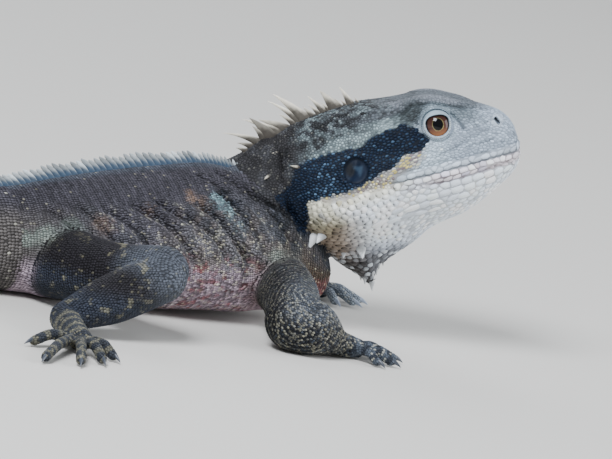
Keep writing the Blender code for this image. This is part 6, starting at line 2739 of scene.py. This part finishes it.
@dataclass
class Crest:
    """The crest of nape, back and tail, and the white cones behind the jaw."""

    anatomy: Anatomy
    ground: Ground
    skin: BVHTree
    back_start: float = 36.0
    tail_reach: float = 250.0
    seed: int = 23

    def ridge(self, tube: BodyTube, place: float) -> tuple[Array, Array, Array]:
        """The top of a form at a place, with the directions up and back."""
        places = np.clip(np.array([place, place - 1.0, place + 1.0]), 0, tube.end)
        top, ahead, behind = tube.surface(places, np.full(3, math.pi / 2), -SKIN_DEPTH)
        back = unit(behind - ahead)
        rows = smooth_values(tube.places, tube.rows, [place])[0]
        left = directions(rows[3], rows[4])[1][0]
        return top, unit(np.cross(left, back)), back

    def nape(self) -> list[Spine]:
        """The long spines of nape and neck, with the small thorns beside them."""
        front = self.anatomy.front
        rows = []
        for s, length, width, lean, pale in NAPE_SPINES:
            rows.append((self.anatomy.place_in_head(s), length, width, lean, pale))
        for along, *rest in NECK_SPINES:
            rows.append((self.anatomy.neck_start + along, *rest))
        found = []
        for place, length, width, lean, pale in rows:
            found.append(Spine(*self.ridge(front, place), length, 1.2 * width, 0.42 * width, lean, pale))
        for place, angle, length, width in NECK_THORNS:
            for side in (1, -1):
                turn = np.full(3, math.pi / 2 + side * math.radians(angle))
                places = np.array([place, place - 1.0, place + 1.0])
                root, ahead, behind = front.surface(places, turn, -SKIN_DEPTH)
                far = front.surface(places[:1], turn[:1], 2.0)[0]
                back = unit(behind - ahead)
                up = unit(0.8 * unit(far - root) + 0.6 * back)
                back = unit(back - up * (back @ up))
                found.append(Spine(root, up, back, length, width, 0.8 * width, 0.3, 0.45))
        return found

    def dorsal(self, draw: np.random.Generator) -> list[Spine]:
        """The low, leaning blades that run down the back and the first half of the tail."""
        body = self.anatomy.body
        found = []
        place = self.back_start
        end = self.anatomy.pelvis + self.tail_reach
        while place < end:
            share = (place - self.back_start) / (end - self.back_start)
            grown = ramp(0.0, 0.12, share)
            length = (3.7 + 1.8 * grown) * (1 - 0.62 * ramp(0.45, 1.0, share))
            length *= draw.uniform(0.86, 1.12)
            width = (2.4 + 2.0 * grown) * (1 - 0.4 * share)
            pale = draw.choice([0.3, 0.45, 0.6, 1.1], p=[0.3, 0.3, 0.2, 0.2])
            found.append(Spine(*self.ridge(body, place), length, width, 0.4 * width, 0.72, pale, 0.5))
            place += width * 0.6
        return found

    @staticmethod
    def blade(spine: Spine, rings: int = 11, sides: int = 10) -> tuple[Array, list[tuple], Array]:
        """One flattened, back-curved spine.

        Args:
            spine: Its place and sizes.
            rings: Rings from root to tip.
            sides: Points of a ring.

        Returns:
            Points, triangles and each point's share of the height.
        """
        across = np.cross(spine.up, spine.back)
        turns = even_turns(sides)
        points, shares = [], []
        for share in np.linspace(-0.16, 1.0, rings):
            rise = max(share, 0.0)
            centre = (
                spine.root
                + spine.up * spine.length * (share - 0.08 * rise**2.2)
                + spine.back * spine.length * spine.curve * (0.75 * rise + 0.25 * rise**2)
            )
            taper = (1 - rise) ** spine.taper * 0.95 + 0.05
            ring = (
                centre
                + np.outer(np.cos(turns) * spine.width / 2 * taper, spine.back)
                + np.outer(np.sin(turns) * spine.thickness / 2 * taper, across)
            )
            points.append(ring)
            shares.append(np.clip(rise + 0.34 * np.maximum(-np.cos(turns), 0) * (rise > 0.12), 0, 1))
        return np.vstack(points), ring_faces(rings, sides), np.concatenate(shares)

    def cones(self) -> list[Spine]:
        """The white cones behind and under the jaw, on both sides."""
        front = self.anatomy.front
        found = []
        for s, t, length, width, way, pale, depth in CHEEK_CONES:
            for side in (1, -1):
                up = unit(np.array([way[0], way[1] * side, way[2]]) @ HEAD_AXES)
                back = unit(np.cross(up, [0.0, 1.0, 0.0]))
                out = np.array([0.0, side, 0.0]) @ HEAD_AXES
                start = self.ground.metres(from_head([s, 30.0 * side, t]))
                place = self.skin.ray_cast(start.tolist(), (-out).tolist())[0]
                root = self.ground.millimetres(np.array(place)) - depth * out
                found.append(Spine(root, up, back, length, width, 0.85 * width, 0.12, pale))
        for s, aside, length, pale in POUCH_THORNS:
            place = np.array([self.anatomy.place_in_head(s)])
            root = front.surface(place, np.array([-math.pi / 2 + aside]), -SKIN_DEPTH)[0]
            up = unit(np.array([-0.25, 1.6 * math.sin(aside), -1.0]) @ HEAD_AXES)
            back = unit(np.cross(up, [0.0, 1.0, 0.0]))
            found.append(Spine(root, up, back, length, 0.62 * length, 0.5 * length, 0.1, pale))
        return found

    def build(self) -> None:
        """Makes the crest and the cones, dark at their roots and pale at their tips."""
        draw = np.random.default_rng(self.seed)
        material = ScaleHorn(name="keratin_spines", grain=Grain(0.35, 3.0, 0.55, 0.3, 0.15)).build()
        for name, spines, dark, light in (
            ("crest_nape", self.nape(), "4a453f", "fbf3df"),
            ("crest_back", self.dorsal(draw), "41566c", "ccd4d6"),
            ("jaw_cones", self.cones(), "d2d4d4", "eef0f2"),
        ):
            parts, colours, roots = [], [], []
            for order, spine in enumerate(spines):
                some, made, share = self.blade(spine)
                base = linear(dark) * (1 - spine.pale * 0.3) + linear(light) * spine.pale * 0.06
                tip = linear(light) * (0.15 + 0.85 * spine.pale)
                blend = ramp(0.3, 0.72, share)[:, None]
                streak = 0.85 + 0.3 * draw.random((len(some), 1))
                colours.append((base * (1 - blend) + tip * blend) * streak)
                parts.append((some, made))
                flat = np.array([0.01 + 0.97 * order / len(spines), 0.5])
                roots.append(flat + np.stack([share, np.zeros_like(share)], axis=1) * PATCH)
            points, faces = merged(parts)
            mesh = fast_mesh(name, self.ground.metres(points), np.array(faces))
            write_markings(mesh, np.clip(np.vstack(colours), 0, 1), np.full(len(points), 0.6))
            write_unwrap(mesh, np.vstack(roots))
            put(name, mesh, material)


@dataclass
class Animal:
    """The whole dressed animal."""

    anatomy: Anatomy
    ground: Ground
    nodes: list[str]

    def build(self) -> None:
        """Builds skin, scales, crest, eyes and claws."""
        lids = LidShape()
        markings = Markings(self.anatomy)
        mesh = SkinBuilder(self.anatomy, self.ground, lids).build()
        skin = put("skin", mesh, BareSkin().build())
        flesh = [name for name in self.nodes if "claw" not in name and not name.startswith("eye")]
        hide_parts(*flesh)
        self.dress_skin(mesh, markings)
        self.make_lids(lids, markings, skin.data.materials[0])
        bpy.context.view_layer.update()
        ScaleLayer(self.anatomy, self.ground, markings, lids).build(mesh, skin)
        tree = BVHTree.FromObject(skin, bpy.context.evaluated_depsgraph_get())
        Crest(self.anatomy, self.ground, tree).build()
        Eyes(self.ground).build()
        Claws(self.anatomy, self.ground).build()

    def sites_on(self, points: Array) -> Sites:
        """Sites for bare points: what they belong to and where, from the nearest form.

        Args:
            points: Places on the skin.

        Returns:
            Sites with the fields that the markings read.
        """
        known, region, place, turn = [], [], [], []
        angles = even_turns(36)
        for tube in self.anatomy.tubes():
            step = 2.0 if isinstance(tube, BodyTube) else 1.6
            places = np.arange(tube.start, tube.end, step)
            grid_place = np.repeat(places, len(angles))
            grid_turn = np.tile(angles, len(places))
            known.append(tube.surface(grid_place, grid_turn, -SKIN_DEPTH))
            region.append(self.anatomy.region_of(tube, grid_place))
            place.append(grid_place)
            turn.append(from_top(grid_turn))
        region, place, turn = np.concatenate(region), np.concatenate(place), np.concatenate(turn)
        tree = point_tree(np.vstack(known))
        nearest = np.array([tree.find(point)[1] for point in points.tolist()])
        count = len(points)
        return Sites(
            points,
            np.tile([1.0, 0.0, 0.0], (count, 1)),
            region[nearest],
            place[nearest],
            turn[nearest],
            np.ones((count, 2)),
            np.zeros(count, int),
            np.zeros(count, int),
            np.zeros((count, 3)),
        )

    def dress_skin(self, mesh, markings: Markings) -> None:
        """Paints the skin between the scales: the scales' own colours, darkened with painted shade where it
        lies in the gaps between them.
        """
        points = self.ground.millimetres(read_points(mesh))
        sites = self.sites_on(points)
        head = sites.among(Region.HEAD)
        colour, polish = markings.colours(sites, np.random.default_rng(5), 0.0)
        local = to_head(points)
        off = local[:, 2] - mouth_line(local[:, 0])
        bare = np.hypot(local[:, 0] - EAR_DRUM[0], local[:, 2] - EAR_DRUM[2]) < EAR_DRUM_RADIUS + 0.3
        bare &= np.abs(local[:, 1]) > 12
        front = head & (local[:, 0] > 10)
        low = head & (off < 0) & (local[:, 0] < 16)
        dark = polygon_share(local[:, [0, 2]], BAND_OUTLINE, 0.4) > 0.5
        jaw = head & (off < 0) & ~low
        # Painted shade between the scales: the skin in the gaps is darkened, least on the bare ear drum and
        # the pale jaw and jowl.
        depth = np.select([bare, dark, jaw, low, front], [1.0, 0.35, 0.74, 0.95, 0.62], 0.4)
        # Painted shade along the slit of the mouth.
        lip = bell(off, 0.6) * (head & (local[:, 0] > MOUTH_CORNER))
        depth = depth * (1 - 0.25 * lip)
        purple = ramp(1.0, -1.0, off) * (head & (local[:, 0] > 12))
        blotch = ramp(0.45, 0.7, value_noise(points, 3.0, 91))
        shade = 0.12 + 0.4 * blotch * ramp(-9.0, -4.0, off)
        shade = shade * purple * ramp(-34, -30, local[:, 2])
        colour = mix(colour, markings.hue["seam"], shade)
        beside = (np.abs(local[:, 1]) > 2.5) & (local[:, 0] > 46) & (local[:, 2] > 1)
        plate = np.hypot(local[:, 0] - NOSTRIL[0], local[:, 2] - NOSTRIL[2]) < 2.1
        depth = np.where(beside & plate, 1.0, depth)
        # Painted shade: the nostril's slit is darkened nearly to black.
        depth = np.where(beside & (slit_distance(local) < 0.6), 0.06, depth)
        write_markings(mesh, np.clip(colour * depth[:, None], 0, 1), polish)

    def make_lids(self, lids: LidShape, markings: Markings, material) -> None:
        """Makes the lids as collars of the same hide."""
        for name, side in (("lids_left", 1), ("lids_right", -1)):
            eye = EyeSite(side)
            points, faces = LidSurface(eye, lids).mesh_parts()
            mesh = fast_mesh(name, self.ground.metres(points), faces)
            form = bmesh.new()
            form.from_mesh(mesh)
            bmesh.ops.recalc_face_normals(form, faces=form.faces)
            form.to_mesh(mesh)
            form.free()
            local = eye.local(points)
            reach = np.hypot(local[:, 0], local[:, 1])
            turns = np.arctan2(local[:, 1], local[:, 0])
            opening = lids.opening(turns)
            high = ramp(-0.1, 0.5, np.sin(turns))
            hind = ramp(0.25, 0.95, -np.cos(turns))
            fore = ramp(0.5, 0.95, np.cos(turns)) * (1 - high)
            share = (reach - opening) / (lids.outer - opening)
            hide = np.outer(high, markings.hue["lid"]) + np.outer(1 - high, markings.hue["cheek"])
            rim = ramp(0.2, 0.06, share)
            pale = bell(share - 0.26, 0.12) * (1 - high)
            dark = (1 - rim * (0.5 + 0.4 * high)) * (1 - 0.5 * hind * ramp(0.3, 0.6, share))
            # Painted shade in the crease round the upper and hind lids, and a painted shaded line along the
            # lower lid.
            crease = bell(share - 0.88, 0.13) * np.maximum(high, 0.8 * hind)
            groove = 1.5 * bell(share - 0.52, 0.08) * (1 - high)
            groove = groove * ramp(0.9, 0.5, np.cos(turns))
            cheek = value_noise(points, 0.9, 92)
            hide = hide * (1 - (0.55 - 0.4 * cheek) * ramp(0.45, 0.6, share) * (1 - high))[:, None]
            hide = hide * (1 - 0.3 * high * ramp(-0.3, 0.9, np.cos(turns)))[:, None]
            colour = hide * (dark * (1 - 0.85 * crease) * (1 - 0.4 * groove))[:, None]
            colour = mix(colour, markings.hue["rim"], 0.65 * pale)
            colour = mix(colour, markings.hue["lilac"], 0.6 * fore * ramp(0.3, 0.5, share))
            write_markings(mesh, colour, np.full(len(points), 0.5))
            put(name, mesh, material)


@dataclass
class Studio:
    """A pale floor, soft light and a camera where the photograph's stood."""

    ground: Ground
    scale_px_per_mm: float = 2.75
    roll_deg: float = 12.0
    elevation_deg: float = 10.0
    mark: tuple[float, float, float] = (0.0, -42.0, 0.0)
    mark_px: tuple[float, float] = (370.0, 357.0)
    frame_px: tuple[float, float] = (612.0, 459.0)
    distance_mm: float = 2200.0
    sensor_mm: float = 36.0

    def build(self) -> None:
        """Makes the floor, the world, the lights and the camera."""
        self.floor()
        self.world()
        for light in Lighting:
            self.light(light)
        self.camera()

    def floor(self) -> None:
        """A matt pale floor, wide enough to fill every view."""
        bpy.ops.mesh.primitive_plane_add(size=30.0, location=(0, 0, -0.0002))
        floor = bpy.context.active_object
        floor.name = "floor"
        material = bpy.data.materials.new("pale_matt_floor")
        material.use_nodes = True
        shader = material.node_tree.nodes["Principled BSDF"]
        shader.inputs["Base Color"].default_value = (*linear("d2cfc8"), 1.0)
        shader.inputs["Roughness"].default_value = 0.9
        floor.data.materials.append(material)

    @staticmethod
    def world() -> None:
        """An even, slightly cool sky."""
        world = bpy.data.worlds.new("sky")
        bpy.context.scene.world = world
        world.use_nodes = True
        shade = world.node_tree.nodes["Background"]
        shade.inputs[0].default_value = (*linear("dfe6ee"), 1.0)
        shade.inputs[1].default_value = 0.5

    @staticmethod
    def light(light: Lighting) -> None:
        """One soft square light, aimed at the animal's shoulders."""
        place, size, power = light.value
        data = bpy.data.lights.new(light.name.lower(), "AREA")
        data.size = size
        data.energy = power
        data.color = linear("f3f7ff").tolist()
        lamp = bpy.data.objects.new(light.name.lower(), data)
        bpy.context.scene.collection.objects.link(lamp)
        lamp.location = place
        aim = Vector((0.1, 0.0, 0.04)) - Vector(place)
        lamp.rotation_mode = "QUATERNION"
        lamp.rotation_quaternion = aim.to_track_quat("-Z", "Y")

    def camera(self) -> None:
        """The photograph's view: level with the animal, a little rolled, through a long lens."""
        elevation = math.radians(self.elevation_deg)
        roll = math.radians(self.roll_deg)
        look = np.array([0.0, math.cos(elevation), -math.sin(elevation)])
        above = np.array([0.0, math.sin(elevation), math.cos(elevation)])
        across = np.array([1.0, 0.0, 0.0])
        right = across * math.cos(roll) + above * math.sin(roll)
        up = -across * math.sin(roll) + above * math.cos(roll)
        aside = (self.frame_px[0] / 2 - self.mark_px[0]) / self.scale_px_per_mm
        risen = (self.mark_px[1] - self.frame_px[1] / 2) / self.scale_px_per_mm
        centre = np.array(self.mark) + right * aside + up * risen
        place = self.ground.metres(centre - look * self.distance_mm)
        data = bpy.data.cameras.new("camera")
        data.sensor_width = self.sensor_mm
        data.lens = self.sensor_mm * self.distance_mm / (self.frame_px[0] / self.scale_px_per_mm)
        camera = bpy.data.objects.new("camera", data)
        bpy.context.scene.collection.objects.link(camera)
        camera.matrix_world = standing([right, up, -look], place)
        bpy.context.scene.camera = camera


def main() -> None:
    """Builds the animal and its studio."""
    logging.basicConfig(level=logging.INFO, format="%(name)s: %(message)s")
    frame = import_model()
    ground = Ground.from_frame()
    LOG.info("shift %s", np.round(ground.shift, 3))
    anatomy = Anatomy()
    Studio(ground).build()
    Animal(anatomy, ground, sorted(frame["nodes"])).build()


if __name__ == "__main__":
    main()
